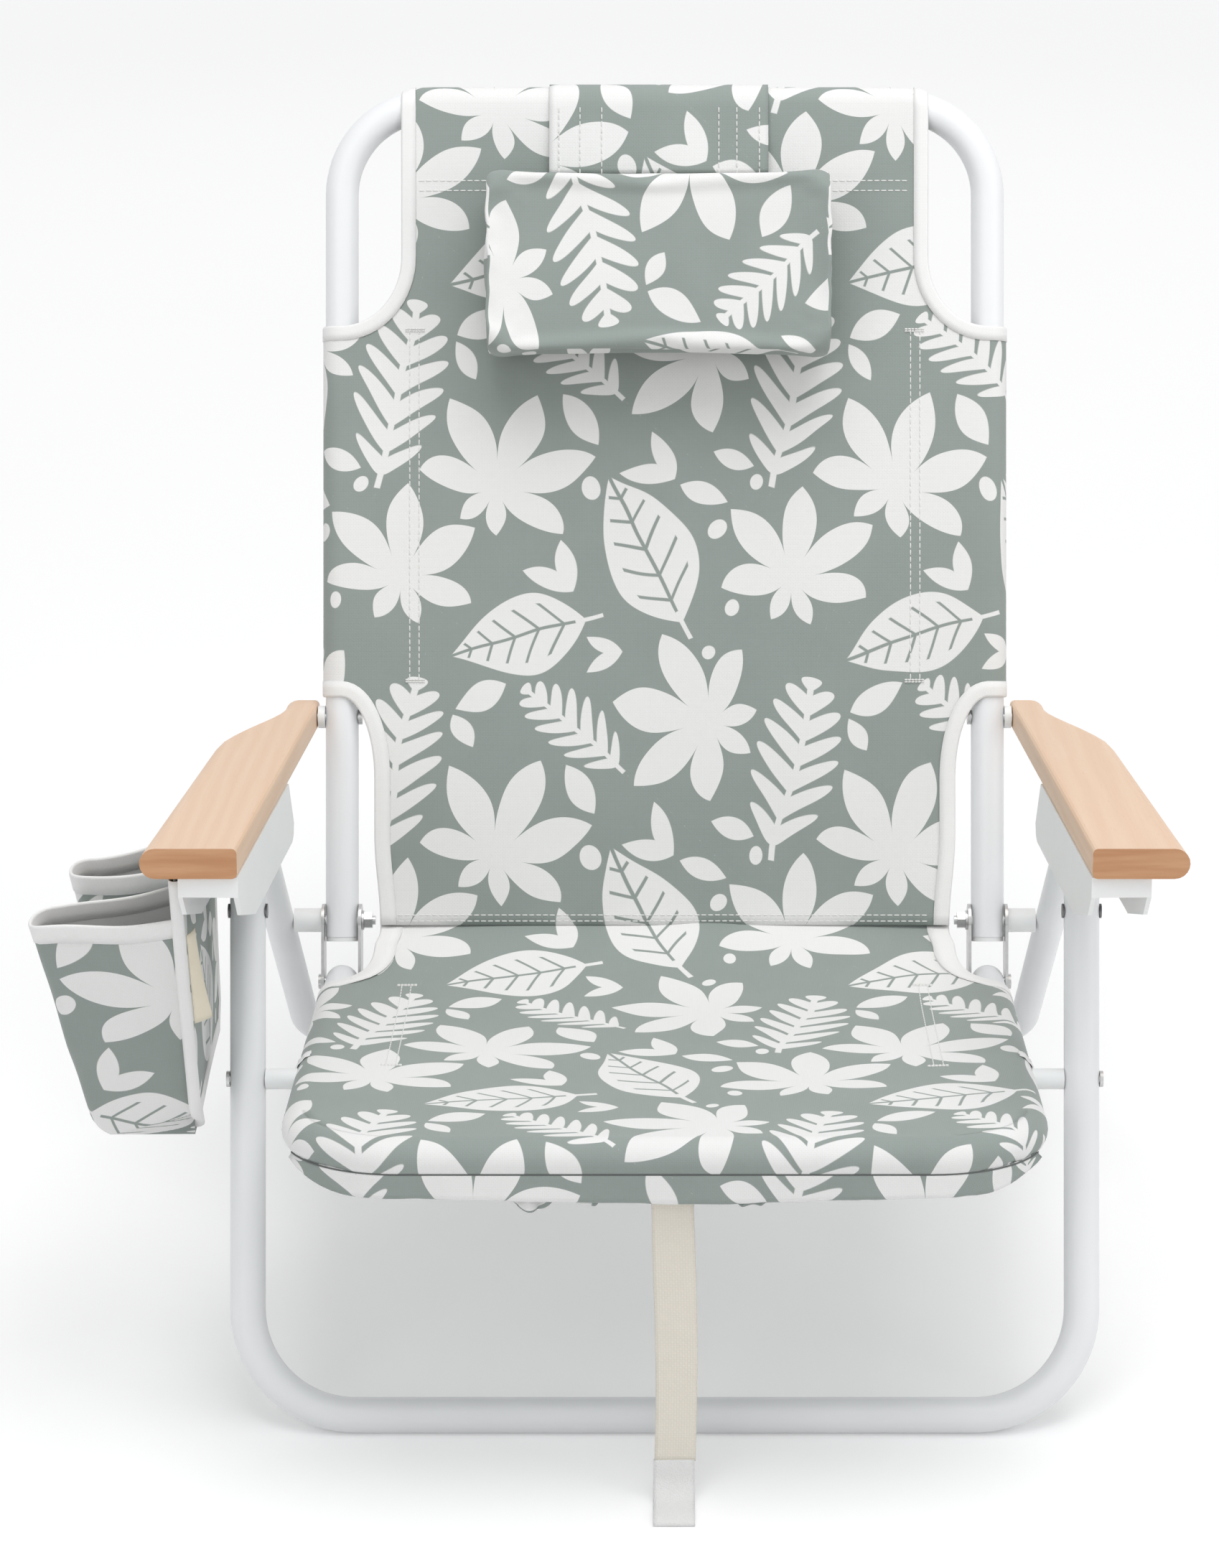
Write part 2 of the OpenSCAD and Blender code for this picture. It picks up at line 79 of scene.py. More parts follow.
def slope(x, y, z):
    """From the seat's frame: y backwards along the seat from the lower bolt."""
    return placed(x, y, z, LOW_BOLT, SLOPE)


def upright(x, y, z):
    return Vector((x, y, z)) * MM


def ease(t):
    t = min(max(t, 0.0), 1.0)
    return t * t * (3 - 2 * t)


def mixed(a, b, t):
    return a + (b - a) * t


def polar(r, degrees):
    a = radians(degrees)
    return r * cos(a), r * sin(a)


def spread(a, b, count):
    """count + 1 even steps from a to b."""
    return [mixed(a, b, i / count) for i in range(count + 1)]


def paced(corners, count):
    """count + 1 even steps along a line of (a, b) points, each with its run."""
    walk = [0.0]
    for a, b in zip(corners, corners[1:]):
        walk.append(walk[-1] + sqrt((a[0] - b[0]) ** 2 + (a[1] - b[1]) ** 2))
    line, k = [], 0
    for s in spread(0, walk[-1], count):
        while k < len(walk) - 2 and walk[k + 1] < s:
            k += 1
        t = (s - walk[k]) / max(walk[k + 1] - walk[k], 1e-9)
        a, b = corners[k], corners[k + 1]
        line.append((mixed(a[0], b[0], t), mixed(a[1], b[1], t), s))
    return line


# Shader graphs written as arithmetic


def operation(name):
    return lambda self, *other: self.graph.math(name, self, *other)


class Val:
    """A number in a shader graph."""

    def __init__(self, graph, socket):
        self.graph = graph
        self.socket = socket

    def __rsub__(self, other):
        return self.graph.math("SUBTRACT", other, self)

    __add__ = __radd__ = operation("ADD")
    __sub__ = operation("SUBTRACT")
    __mul__ = __rmul__ = operation("MULTIPLY")
    __truediv__ = operation("DIVIDE")
    __pow__ = operation("POWER")
    __abs__ = operation("ABSOLUTE")
    root = operation("SQRT")
    atleast = operation("MAXIMUM")
    atmost = operation("MINIMUM")


class Graph:
    """The nodes of a material, or of the world, around its shader."""

    def __init__(self, name, owners=bpy.data.materials, shader="Principled BSDF"):
        self.owner = owners.new(name)
        self.owner.use_nodes = True
        self.tree = self.owner.node_tree
        self.shader = self.tree.nodes[shader]

    def put(self, socket, value):
        if isinstance(value, Val):
            value = value.socket
        if isinstance(value, bpy.types.NodeSocket):
            self.tree.links.new(value, socket)
        else:
            socket.default_value = value

    def node(self, kind, inputs=(), **settings):
        made = self.tree.nodes.new("ShaderNode" + kind)
        for key, value in settings.items():
            setattr(made, key, value)
        for key, value in dict(inputs).items():
            self.put(made.inputs[key], value)
        return made

    def math(self, operation, *values):
        made = self.node("Math", operation=operation)
        for socket, value in zip(made.inputs, values):
            self.put(socket, value)
        return Val(self, made.outputs[0])

    def limited(self, value, low, high):
        """0 where value is at or below low, 1 at or above high, smooth between."""
        made = self.node(
            "MapRange", {"Value": value, "From Min": low, "From Max": high},
            interpolation_type="SMOOTHSTEP",
        )
        return Val(self, made.outputs["Result"])

    def colour(self, factor, a, b):
        made = self.node("Mix", data_type="RGBA")
        self.put(made.inputs[0], factor)
        for socket, tone in zip(made.inputs[6:8], (a, b)):
            self.put(socket, (*tone, 1) if isinstance(tone, tuple) else tone)
        return made.outputs[2]

    def place(self, kind="Object"):
        return self.node("TexCoord").outputs[kind]

    def print_place(self):
        return self.node("UVMap", uv_map="print").outputs["UV"]

    def mapped(self, vector, scale=(1, 1, 1), turn=(0, 0, 0)):
        made = self.node("Mapping", {"Vector": vector, "Scale": scale, "Rotation": turn})
        return made.outputs["Vector"]

    def noise(self, vector, scale, detail=2.0, rough=0.5):
        made = self.node(
            "TexNoise", {"Vector": vector, "Scale": scale, "Detail": detail, "Roughness": rough}
        )
        return Val(self, made.outputs["Fac"])

    def split(self, vector):
        made = self.node("SeparateXYZ", {"Vector": vector})
        return [Val(self, made.outputs[k]) for k in "XYZ"]

    def joined(self, x, y, z=0.0):
        return self.node("CombineXYZ", {"X": x, "Y": y, "Z": z}).outputs["Vector"]

    def bump(self, height, distance, strength):
        made = self.node("Bump", {"Height": height, "Distance": distance, "Strength": strength})
        return made.outputs["Normal"]

    def shown(self):
        """1 on rays that show a thing, 0 on those that light others by it."""
        ray = self.node("LightPath").outputs
        seen = Val(self, ray["Is Camera Ray"])
        for name in ("Is Glossy Ray", "Is Transmission Ray"):
            seen = seen.atleast(Val(self, ray[name]))
        return seen

    def finish(self, colour, rough, normal=None, **constants):
        self.put(self.shader.inputs["Base Color"], colour)
        self.put(self.shader.inputs["Roughness"], rough)
        if normal:
            self.put(self.shader.inputs["Normal"], normal)
        for key, value in constants.items():
            self.shader.inputs[key.replace("_", " ")].default_value = value
        return self.owner


def powder_coat():
    g = Graph("powder_coat")
    at = g.place()
    cloudy = g.noise(at, 14, 3)
    peel = g.noise(at, 1100, 2, 0.6)
    tone = g.colour(cloudy, (0.82, 0.835, 0.85), (0.865, 0.877, 0.888))
    rough = 0.34 + 0.14 * g.noise(at, 60)
    return g.finish(tone, rough, g.bump(peel, 0.00012, 0.35), Coat_Weight=0.15, Coat_Roughness=0.25)


def white_plastic():
    g = Graph("white_plastic")
    at = g.place()
    grain = g.noise(at, 1600, 2)
    tone = g.colour(g.noise(at, 25, 2), (0.85, 0.853, 0.845), (0.89, 0.892, 0.886))
    rough = 0.36 + 0.16 * g.noise(at, 90)
    return g.finish(tone, rough, g.bump(grain, 0.00008, 0.4), Subsurface_Weight=0.06)


def zinc(name, dark, light):
    g = Graph(name)
    at = g.place()
    brushed = g.noise(g.mapped(at, (300, 2200, 300)), 1.0, 3)
    tone = g.colour(g.noise(at, 240, 3), dark, light)
    rough = 0.24 + 0.2 * g.noise(at, 420, 2)
    return g.finish(tone, rough, g.bump(brushed, 0.00005, 0.5), Metallic=1.0)


def beech():
    """Beech along the arm, and its darker end grain on the faces that cut the arm off."""
    g = Graph("beech")
    at = g.mapped(g.place(), (1, 1, 1), (SLOPE, 0, 0))
    wander = g.noise(g.mapped(at, (9, 1.6, 9)), 1.0, 2)
    x, y, z = g.split(at)
    ring = g.node(
        "TexWave",
        {
            "Vector": g.joined(x + 0.012 * wander - 0.14, y * 0.10, z + 0.02 * wander - 0.18),
            "Scale": 36.0, "Distortion": 3.2, "Detail": 2.0, "Detail Scale": 2.0,
        },
        wave_type="RINGS", rings_direction="Y",
    ).outputs["Fac"]
    fibre = g.noise(g.mapped(at, (650, 14, 650)), 1.0, 3, 0.62)
    fleck = g.limited(g.noise(g.mapped(at, (900, 95, 900)), 1.0, 1), 0.66, 0.74)
    facing = g.split(g.mapped(g.place("Normal"), (1, 1, 1), (SLOPE, 0, 0)))[1]
    end = g.limited(abs(facing), 0.55, 0.9)
    long = g.colour(Val(g, ring), (0.77, 0.555, 0.395), (0.74, 0.515, 0.355))
    long = g.colour(0.24 * fibre, long, (0.65, 0.425, 0.27))
    long = g.colour(0.22 * fleck, long, (0.58, 0.36, 0.21))
    streak = g.noise(g.mapped(at, (14, 1, 190)), 1.0, 3)
    cut = g.colour(g.limited(streak, 0.32, 0.70), (0.61, 0.335, 0.18), (0.50, 0.24, 0.11))
    cut = g.colour(0.3 * g.noise(g.mapped(at, (110, 30, 900)), 1.0, 2), cut, (0.44, 0.22, 0.10))
    tone = g.colour(end, long, cut)
    relief = g.bump(fibre, 0.00012, 0.5)
    return g.finish(tone, 0.40 + 0.18 * fibre, relief, Coat_Weight=0.12, Coat_Roughness=0.3)


SAGE = (0.288, 0.331, 0.309)
SAGE_DEEP = (0.257, 0.298, 0.278)
CHALK = (0.825, 0.825, 0.815)


def woven(g, at, pitch, depth):
    """Plain weave: threads over and under each other, as a bump and a height."""
    x, y = g.split(at)[:2]
    u = g.math("SINE", x * (pi / pitch))
    v = g.math("SINE", y * (pi / pitch))
    height = abs(u) * 0.5 + abs(v) * 0.5 + 0.25 * u * v
    return g.bump(height, depth, 0.6), height


# Motifs: the distance to an outline, below 0 inside it


def fan(g, a, b, size):
    """Pointed leaflets round a point near one end, shorter behind it."""
    a = a + 0.24 * size
    turn = g.math("ARCTAN2", b, a)
    leaflet = g.math("PINGPONG", turn * (7 / (2 * pi)) + 0.5, 0.5) * 2
    behind = g.limited(abs(turn), 1.2, 2.6)
    reach = (leaflet ** 0.55 * 0.50 + 0.15) * (1 - 0.5 * behind)
    return (a * a + b * b).root() - reach * size


def frond(g, a, b, size):
    """Slanted leaflets on both sides of a stem."""
    side = abs(b)
    along = a / (0.54 * size)
    width = (1 - along * along).atleast(0.0).root() * (0.27 * size)
    tooth = g.math("PINGPONG", (a - 0.8 * side) / (0.17 * size), 0.5) * 2
    share = side / (width + 0.01)
    slim = (1 - share * share).atleast(0.0).root()
    blade = (tooth - 0.80 * slim) * (0.06 * size)
    blade = blade.atleast(side - width)
    stem = (side - 0.02 * size).atleast(abs(a + 0.05 * size) - 0.58 * size)
    return blade.atmost(stem)


def broad(g, a, b, size):
    """An oval leaf with its veins left open, on a short stem."""
    side = abs(b)
    along = a / (0.5 * size)
    width = (1 - along * along) * (1 - 0.35 * along) * (0.27 * size)
    vein = (0.07 - g.math("PINGPONG", (a - 0.75 * side) / (0.17 * size), 0.5)) * (0.136 * size)
    veins = (0.011 * size - side).atleast(vein.atmost(0.7 * width - side))
    stem = (side - 0.016 * size).atleast(abs(a + 0.52 * size) - 0.10 * size)
    return (side - width).atleast(veins).atmost(stem)


def almond(g, a, b, size):
    """A leaf pointed at both ends."""
    along = a / (0.5 * size)
    return abs(b) - (1 - along * along) * (0.24 * size)


def sprig(g, a, b, size):
    """Two small leaves side by side on one point."""
    side = abs(b)
    apart = 0.55
    c, s = cos(apart), sin(apart)
    along = (a * c + side * s - 0.30 * size) / (0.42 * size)
    return abs(side * c - a * s) - (1 - along * along) * (0.15 * size)


def pebble(g, a, b, size):
    """An oval dot."""
    return (a * a + 1.8 * b * b).root() - 0.5 * size


# The print's repeat, in millimetres: motif, place, turn and length
REPEAT = (264.0, 248.0)
WOBBLE = 14  # how far outlines stray, so that no two repeats are quite alike
INK_EDGE = 0.35
LAYOUT = [
    (fan, 162, 66, 1.17, 102), (fan, 5, 137, 2.96, 102), (fan, 89, 5, 1.48, 96),
    (frond, 87, 108, 1.34, 108), (frond, 201, 131, 2.41, 76),
    (broad, 252, 248, 2.04, 108), (broad, 166, 190, 3.43, 96),
    (sprig, 3, 46, 2.46, 46), (sprig, 200, 225, 2.3, 44), (sprig, 233, 177, 3.1, 34),
    (almond, 207, 86, 2.14, 40), (almond, 141, 150, 0.48, 38), (almond, 25, 35, 5.95, 32),
    (almond, 46, 61, 5.98, 30), (almond, 130, 126, 5.27, 26),
    (pebble, 216, 41, 2.06, 16), (pebble, 34, 11, 0.99, 14), (pebble, 61, 45, 1.12, 12),
    (pebble, 44, 211, 1.48, 11), (pebble, 29, 180, 3.97, 10),
]


def print_cloth():
    """Woven polyester with an overall print of leaves and pebbles in off-white on sage."""
    g = Graph("print_cloth")
    at = g.print_place()
    soft = g.node("TexNoise", {"Vector": at, "Scale": 14.0, "Detail": 1.0}).outputs["Color"]
    n1, n2 = g.split(soft)[:2]
    u, v = g.split(at)[:2]
    u = u * 1000 + WOBBLE * (n1 - 0.5)
    v = v * 1000 + WOBBLE * (n2 - 0.5)
    field = None
    for motif, x, y, turn, size in LAYOUT:
        dx = g.math("WRAP", u - x, REPEAT[0] / 2, -REPEAT[0] / 2)
        dy = g.math("WRAP", v - y, REPEAT[1] / 2, -REPEAT[1] / 2)
        c, s = cos(turn), sin(turn)
        one = motif(g, dx * c + dy * s, dy * c - dx * s, size)
        field = field.atmost(one) if field else one
    ink = 1 - g.limited(field, -INK_EDGE, INK_EDGE)
    normal, threads = woven(g, at, 0.0011, 0.00016)
    shade = g.noise(at, 30, 3)
    sage = g.colour(shade, SAGE_DEEP, SAGE)
    tone = g.colour(ink, sage, CHALK)
    tone = g.colour(0.08 * threads, tone, (0.46, 0.48, 0.46))
    return g.finish(
        tone, 0.68 + 0.14 * threads, normal,
        Sheen_Weight=0.2, Sheen_Roughness=0.5, Specular_IOR_Level=0.35,
    )


def tape(name, dark, light, pitch=0.0009, depth=0.00014):
    """Woven tape or webbing in one colour."""
    g = Graph(name)
    at = g.print_place()
    normal, threads = woven(g, at, pitch, depth)
    tone = g.colour(0.6 * threads + 0.4 * g.noise(at, 80, 2), dark, light)
    return g.finish(tone, 0.72 + 0.12 * threads, normal, Sheen_Weight=0.15, Sheen_Roughness=0.5)


def hook_tape():
    """Hook-and-loop tape: a dense pile of small loops."""
    g = Graph("hook_tape")
    at = g.place()
    pile = g.node("TexVoronoi", {"Vector": at, "Scale": 1100.0}, feature="F1").outputs["Distance"]
    fuzz = g.noise(at, 700, 4, 0.7)
    tone = g.colour(fuzz, (0.80, 0.80, 0.79), (0.90, 0.90, 0.89))
    relief = g.bump(Val(g, pile) + fuzz, 0.0005, 0.7)
    return g.finish(tone, 0.85 + 0.1 * fuzz, relief, Sheen_Weight=0.3, Sheen_Roughness=0.6)


def thread(name, dark, light):
    """Twisted sewing thread; also the near-black cord that is painted shadow in the seat's front seam."""
    g = Graph(name)
    at = g.place()
    twist = g.node("TexWave", {"Vector": at, "Scale": 900.0, "Distortion": 1.0}).outputs["Fac"]
    tone = g.colour(Val(g, twist), dark, light)
    return g.finish(tone, 0.6 + 0.2 * g.noise(at, 900), g.bump(Val(g, twist), 0.0001, 0.5))


POWDER = powder_coat()
PLASTIC = white_plastic()
ZINC = zinc("zinc", (0.50, 0.505, 0.50), (0.66, 0.66, 0.65))
# Steel of the leg rivets: its dark tone is painted shade, taken from rivets that sat in shade
SHADED_RIVET_STEEL = zinc("dark_steel", (0.14, 0.14, 0.145), (0.22, 0.22, 0.225))
BEECH = beech()
PRINT = print_cloth()
BINDING = tape("binding_tape", (0.82, 0.82, 0.81), (0.88, 0.88, 0.87))
WEBBING = tape("webbing", (0.74, 0.69, 0.60), (0.83, 0.78, 0.69), 0.0016, 0.0003)
LINING = tape("lining", (0.74, 0.745, 0.74), (0.80, 0.805, 0.80))
CREAM = tape("cream_tape", (0.80, 0.72, 0.57), (0.89, 0.81, 0.66), 0.0007, 0.0001)
HOOK = hook_tape()
THREAD = thread("thread", (0.74, 0.74, 0.72), (0.86, 0.86, 0.845))
# Near-black cord colour: painted shadow in the gap where the seat's top cloth meets the lip
SEAM_SHADOW_LOOK = thread("painted_seam_shadow", (0.10, 0.11, 0.105), (0.16, 0.17, 0.165))

# The rigid nodes keep the CAD's shapes and get these looks
BY_SLOT = {
    "powder_coat": POWDER, "white_plastic": PLASTIC, "zinc": ZINC, "dark_steel": SHADED_RIVET_STEEL,
    "beech": BEECH,
}
for part in frame["record"]["subparts"]:
    if part["material_slot"] in BY_SLOT:
        kept = nodes[part["node"]]
        kept.data.materials.clear()
        kept.data.materials.append(BY_SLOT[part["material_slot"]])

# Meshes


def added(name, points, faces, material):
    """A smooth mesh, as an object of the scene."""
    mesh = bpy.data.meshes.new(name)
    mesh.from_pydata(points, [], faces)
    mesh.shade_smooth()
    mesh.materials.append(material)
    made = bpy.data.objects.new(name, mesh)
    scene.collection.objects.link(made)
    return made


class Cloth:
    """Points with print coordinates, joined where grids meet."""

    SAME = 20000  # points that round to the same twentieth of a millimetre are one

    def __init__(self):
        self.points, self.prints, self.faces, self.known = [], [], [], {}

    def point(self, co, uv):
        key = tuple(round(c * self.SAME) for c in co)
        if key not in self.known:
            self.known[key] = len(self.points)
            self.points.append(co)
            self.prints.append(uv)
        return self.known[key]

    def grid(self, rows, flip=False):
        """rows of (point, (u, v)), all of one length; print coordinates in millimetres."""
        ids = [[self.point(co, (uv[0] * MM, uv[1] * MM)) for co, uv in row] for row in rows]
        for top, low in zip(ids, ids[1:]):
            for j in range(len(top) - 1):
                face = [top[j], top[j + 1], low[j + 1], low[j]]
                face = [v for i, v in enumerate(face) if v != face[i - 1]]
                if len(face) > 2:
                    self.faces.append(face[::-1] if flip else face)

    def made(self, name, material, body, thick=0.0, slot="print_cloth"):
        """The cloth as an object of a thickness in millimetres. A body of None leaves it without a body."""
        made = added(name, self.points, self.faces, material)
        layer = made.data.uv_layers.new(name="print")
        for loop in made.data.loops:
            layer.data[loop.index].uv = self.prints[loop.vertex_index]
        if thick:
            shell = made.modifiers.new("thickness", "SOLIDIFY")
            shell.thickness = thick * MM
            shell.offset = 0.0
        if body:
            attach(made, body)
        return made


def flat_fold(width, lift=0.75):
    """Half the section of a tape folded over an edge: inward and off the cloth, down to the fold."""
    return [(width, lift), (width * 0.5, lift), (1.0, lift), (0.0, lift * 0.8), (-0.6, 0.0)]


def bound_edge(cloth, path, section):
    """A tape over a cloth edge. path holds (edge point, inward direction, normal), in metres."""
    section = section + [(a, -b) for a, b in section[-2::-1]]
    rows, run, last = [], 0.0, None
    for edge, inward, normal in path:
        run += (edge - last).length / MM if last else 0.0
        last = edge
        rows.append([
            (edge + (inward * a + normal * b) * MM, (run, a if b >= 0 else -a)) for a, b in section
        ])
    cloth.grid(rows)


def edge_path(points, normals, hints):
    """Edge points with the direction into the cloth: square to the edge, on the hint's side."""
    path = []
    for i, (co, normal, hint) in enumerate(zip(points, normals, hints)):
        along = (points[min(i + 1, len(points) - 1)] - points[max(i - 1, 0)]).normalized()
        inward = along.cross(normal).normalized()
        path.append((co, inward if inward.dot(hint) > 0 else -inward, normal))
    return path


class Stitches:
    """Small raised threads, laid one after another along lines on the cloth."""

    AROUND = 6
    RING = [(cos(a * pi / 3), sin(a * pi / 3)) for a in range(AROUND)]
    TAPER = [(-0.5, 0.35), (-0.32, 1.0), (0.32, 1.0), (0.5, 0.35)]
    BAR_TACK = (2.2, 2.1, 0.6)

    def __init__(self):
        self.points, self.faces = [], []

    def one(self, a, b, normal, r):
        n = self.AROUND
        along = b - a
        mid = (a + b) / 2
        side = along.normalized().cross(normal).normalized()
        first = len(self.points)
        for t, size in self.TAPER:
            for c, s in self.RING:
                self.points.append(mid + along * t + (side * c + normal * s) * (r * size * MM))
        last = first + n * (len(self.TAPER) - 1)
        for start in range(first, last, n):
            for j in range(n):
                p, q = start + j, start + (j + 1) % n
                self.faces.append([p, q, q + n, p + n])
        self.faces.append([first + j for j in range(n - 1, -1, -1)])
        self.faces.append([last + j for j in range(n)])

    def line(self, points, normal, pitch=4.6, length=3.7, r=0.42):
        """points in metres; the line is walked at an even pitch."""
        walk = [0.0]
        for a, b in zip(points, points[1:]):
            walk.append(walk[-1] + (b - a).length / MM)

        def at(s):
            k = max(i for i in range(len(walk) - 1) if walk[i] <= s + 1e-9)
            span = walk[k + 1] - walk[k]
            return points[k].lerp(points[k + 1], (s - walk[k]) / span if span else 0.0)

        count = int(walk[-1] / pitch)
        for i in range(count):
            s = i * pitch
            self.one(at(s), at(min(s + length, walk[-1])), normal, r)

    def sleeves(self, surface, normal, seam, gap, run, tacks):
        """Two lines beside each sleeve, with bar tacks near their ends."""
        for side in (-1, 1):
            for x in (seam, seam + gap):
                self.line([surface(side * x, along, 0.5) for along in run], normal)
            for along in tacks:
                for shift in (-0.7, 0.7):
                    self.line([
                        surface(side * (seam - 4 + 14 * t), along + shift, 0.7) for t in spread(0, 1, 6)
                    ], normal, *self.BAR_TACK)

    def made(self, name, body):
        made = added(name, self.points, self.faces, THREAD)
        if body:
            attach(made, body)
        return made


LEAN_FRONT = Vector((0, -cos(RECLINE), sin(RECLINE)))
LEAN_UP = Vector((0, sin(RECLINE), cos(RECLINE)))
SEAT_UP = Vector((0, sin(SLOPE), cos(SLOPE)))
SEAT_REAR = Vector((0, cos(SLOPE), -sin(SLOPE)))
ACROSS = Vector((1, 0, 0))

# Back cloth: a panel in front of the tubes, sleeves round the side tubes and the top bar

BACK_LOW = -3.0
HINGE_HALF = 193.0
LOW_CUT = 95.0
WRAP = (150.0, 396.0)  # the side sleeves' ends
TOP_CUT = (41.0, 47.0)
TOP_HALF = FRAME_X - TOP_CUT[0]
SLEEVE_SEAM = 164.0
TOP_SEAM = 487.0
TOP_BEND = (470, 60)  # where the cloth starts to follow the tube's bend, and over what height
BACK_HOLLOW = 5.0
CUT_STEPS = 16
COLS = spread(-1, 1, 52)


def back_half(z):
    """Half the width of the back cloth at a height along the tubes."""
    if z <= LOW_CUT:
        return HINGE_HALF - 4 * (1 - ease((z - BACK_LOW) / 60))
    if z < WRAP[0]:
        rise = (z - LOW_CUT) / (WRAP[0] - LOW_CUT)
        return FRAME_X - (FRAME_X - HINGE_HALF) * sqrt(1 - rise * rise)
    if z <= WRAP[1]:
        return FRAME_X
    if z < WRAP[1] + TOP_CUT[1]:
        drop = (WRAP[1] + TOP_CUT[1] - z) / TOP_CUT[1]
        return FRAME_X - TOP_CUT[0] * sqrt(1 - drop * drop)
    return TOP_HALF


def top_drop(x, z):
    """How far the ends of the top sleeve follow the tube's bend."""
    past = max(abs(x) - FRAME_X + FRAME_BEND, 0.0)
    return (FRAME_BEND - sqrt(max(FRAME_BEND ** 2 - past ** 2, 0.0))) * ease((z - TOP_BEND[0]) / TOP_BEND[1])


def top_at(x, y, z):
    """A point of the back, lowered where the top bends."""
    return lean(x, y, z - top_drop(x, z))


def back_y(x, z):
    """Front of the back cloth: taut between the tubes, with a slight hollow and ripples."""
    flat = max(1 - (x / FRAME_X) ** 2, 0.0) * (1 - ease((z - 450) / 90))
    ripple = 0.8 * sin(x / 41 + z / 67) + 0.7 * sin(z / 49 - x / 90 + 1)
    ripple += 0.5 * sin(x / 19 - z / 120)
    pull = 1.1 * noise.noise(Vector((x / 60, z / 60, 3.0)))
    return -SLEEVE_R + flat * (BACK_HOLLOW + ripple + pull)


def back_at(x, z, lift=0.0):
    return top_at(x, back_y(x, z) - lift, z)


def sleeve_at(side, a, z):
    """A point round a side tube of the back, at an angle from the front."""
    return lean(side * (FRAME_X + SLEEVE_R * sin(a)), -SLEEVE_R * cos(a), z)


cloth = Cloth()
back_rows = spread(BACK_LOW, LOW_CUT, 14)
back_rows += [mixed(LOW_CUT, WRAP[0], sin(a)) for a in spread(0, pi / 2, CUT_STEPS)[1:]]
back_rows += spread(*WRAP, 36)[1:]
back_rows += [mixed(WRAP[1], WRAP[1] + TOP_CUT[1], 1 - cos(a)) for a in spread(0, pi / 2, CUT_STEPS)[1:]]
back_rows += spread(WRAP[1] + TOP_CUT[1], BACK_LEN, 14)[1:]
rows = [[(back_at(c * back_half(z), z), (c * back_half(z), z)) for c in COLS] for z in back_rows]
for a in spread(0, pi, ARC)[1:]:
    y, z = -SLEEVE_R * cos(a), BACK_LEN + SLEEVE_R * sin(a)
    run = BACK_LEN + SLEEVE_R * a
    rows.append([(top_at(c * TOP_HALF, y, z), (c * TOP_HALF, run)) for c in COLS])
for t in spread(0, 1, 7)[1:]:
    y, z = mixed(SLEEVE_R, -SLEEVE_R + 3.0, t), mixed(BACK_LEN, TOP_SEAM, t)
    run = BACK_LEN + SLEEVE_R * pi + 50 * t
    rows.append([(top_at(c * TOP_HALF, y, z), (c * TOP_HALF, run)) for c in COLS])
cloth.grid(rows)
for side in (-1, 1):
    rows = []
    for z in [z for z in back_rows if WRAP[0] <= z <= WRAP[1]]:
        row = []
        for a in spread(0, pi, ARC):
            row.append((sleeve_at(side, a, z), (side * (FRAME_X + SLEEVE_R * a), z)))
        for t in spread(0, 1, 6)[1:]:
            x = mixed(FRAME_X, SLEEVE_SEAM, t)
            y = mixed(SLEEVE_R, back_y(SLEEVE_SEAM, z) + 1.2, t)
            row.append((lean(side * x, y, z), (side * (FRAME_X + SLEEVE_R * pi + 48 * t), z)))
        rows.append(row)
    cloth.grid(rows, flip=side < 0)
back_cloth = cloth.made("back_cloth", PRINT, "back", 0.9)
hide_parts("back_fabric")

# White tape along the cut-outs of the back cloth


def round_sleeve(side, a):
    """The normal at an angle round a side sleeve, from the front."""
    return (LEAN_FRONT * cos(a) + ACROSS * (side * sin(a))).normalized()


tape_mesh = Cloth()
for side in (-1, 1):
    low = [back_at(side * back_half(z), z) for z in back_rows if z < WRAP[0] - 0.1]
    normals = [LEAN_FRONT] * len(low)
    hints = [LEAN_UP - ACROSS * side] * len(low) + [LEAN_UP] * (ARC + 1)
    for a in spread(0, pi, ARC):
        low.append(sleeve_at(side, a, WRAP[0]))
        normals.append(round_sleeve(side, a))
    bound_edge(tape_mesh, edge_path(low, normals, hints), flat_fold(9.8))
    high, normals = [], []
    for a in spread(pi, 0, ARC):
        high.append(sleeve_at(side, a, WRAP[1]))
        normals.append(round_sleeve(side, a))
    for z in [z for z in back_rows if z > WRAP[1] + 0.1]:
        high.append(back_at(side * back_half(z), z))
        normals.append(LEAN_FRONT)
    tilted = LEAN_UP + ACROSS * (0.3 * side)
    for a in spread(0, pi, ARC)[1:]:
        high.append(top_at(side * TOP_HALF, -SLEEVE_R * cos(a), BACK_LEN + SLEEVE_R * sin(a)))
        normals.append((LEAN_FRONT * cos(a) + tilted * sin(a)).normalized())
    hints = [-LEAN_UP] * (ARC + 1) + [-LEAN_UP - ACROSS * side] * CUT_STEPS
    hints += [ACROSS * -side] * (len(high) - len(hints))
    bound_edge(tape_mesh, edge_path(high, normals, hints), flat_fold(9.0))
tape_mesh.made("back_cutout_tape", BINDING, "back", 0.4)

thread_back = Stitches()
thread_back.sleeves(back_at, LEAN_FRONT, SLEEVE_SEAM, 6.2, spread(161, 399, 60), (160, 394))
for z in (TOP_SEAM, TOP_SEAM + 6.6, BACK_LOW + 2.6, BACK_LOW + 6.6):
    half = back_half(z) - 11
    thread_back.line([back_at(x, z, 0.5) for x in spread(-half, half, 60)], LEAN_FRONT)
thread_back.made("back_stitches", "back")

# Seat cloth: a panel from the crease to the front bar, sleeves round the side tubes and the bar

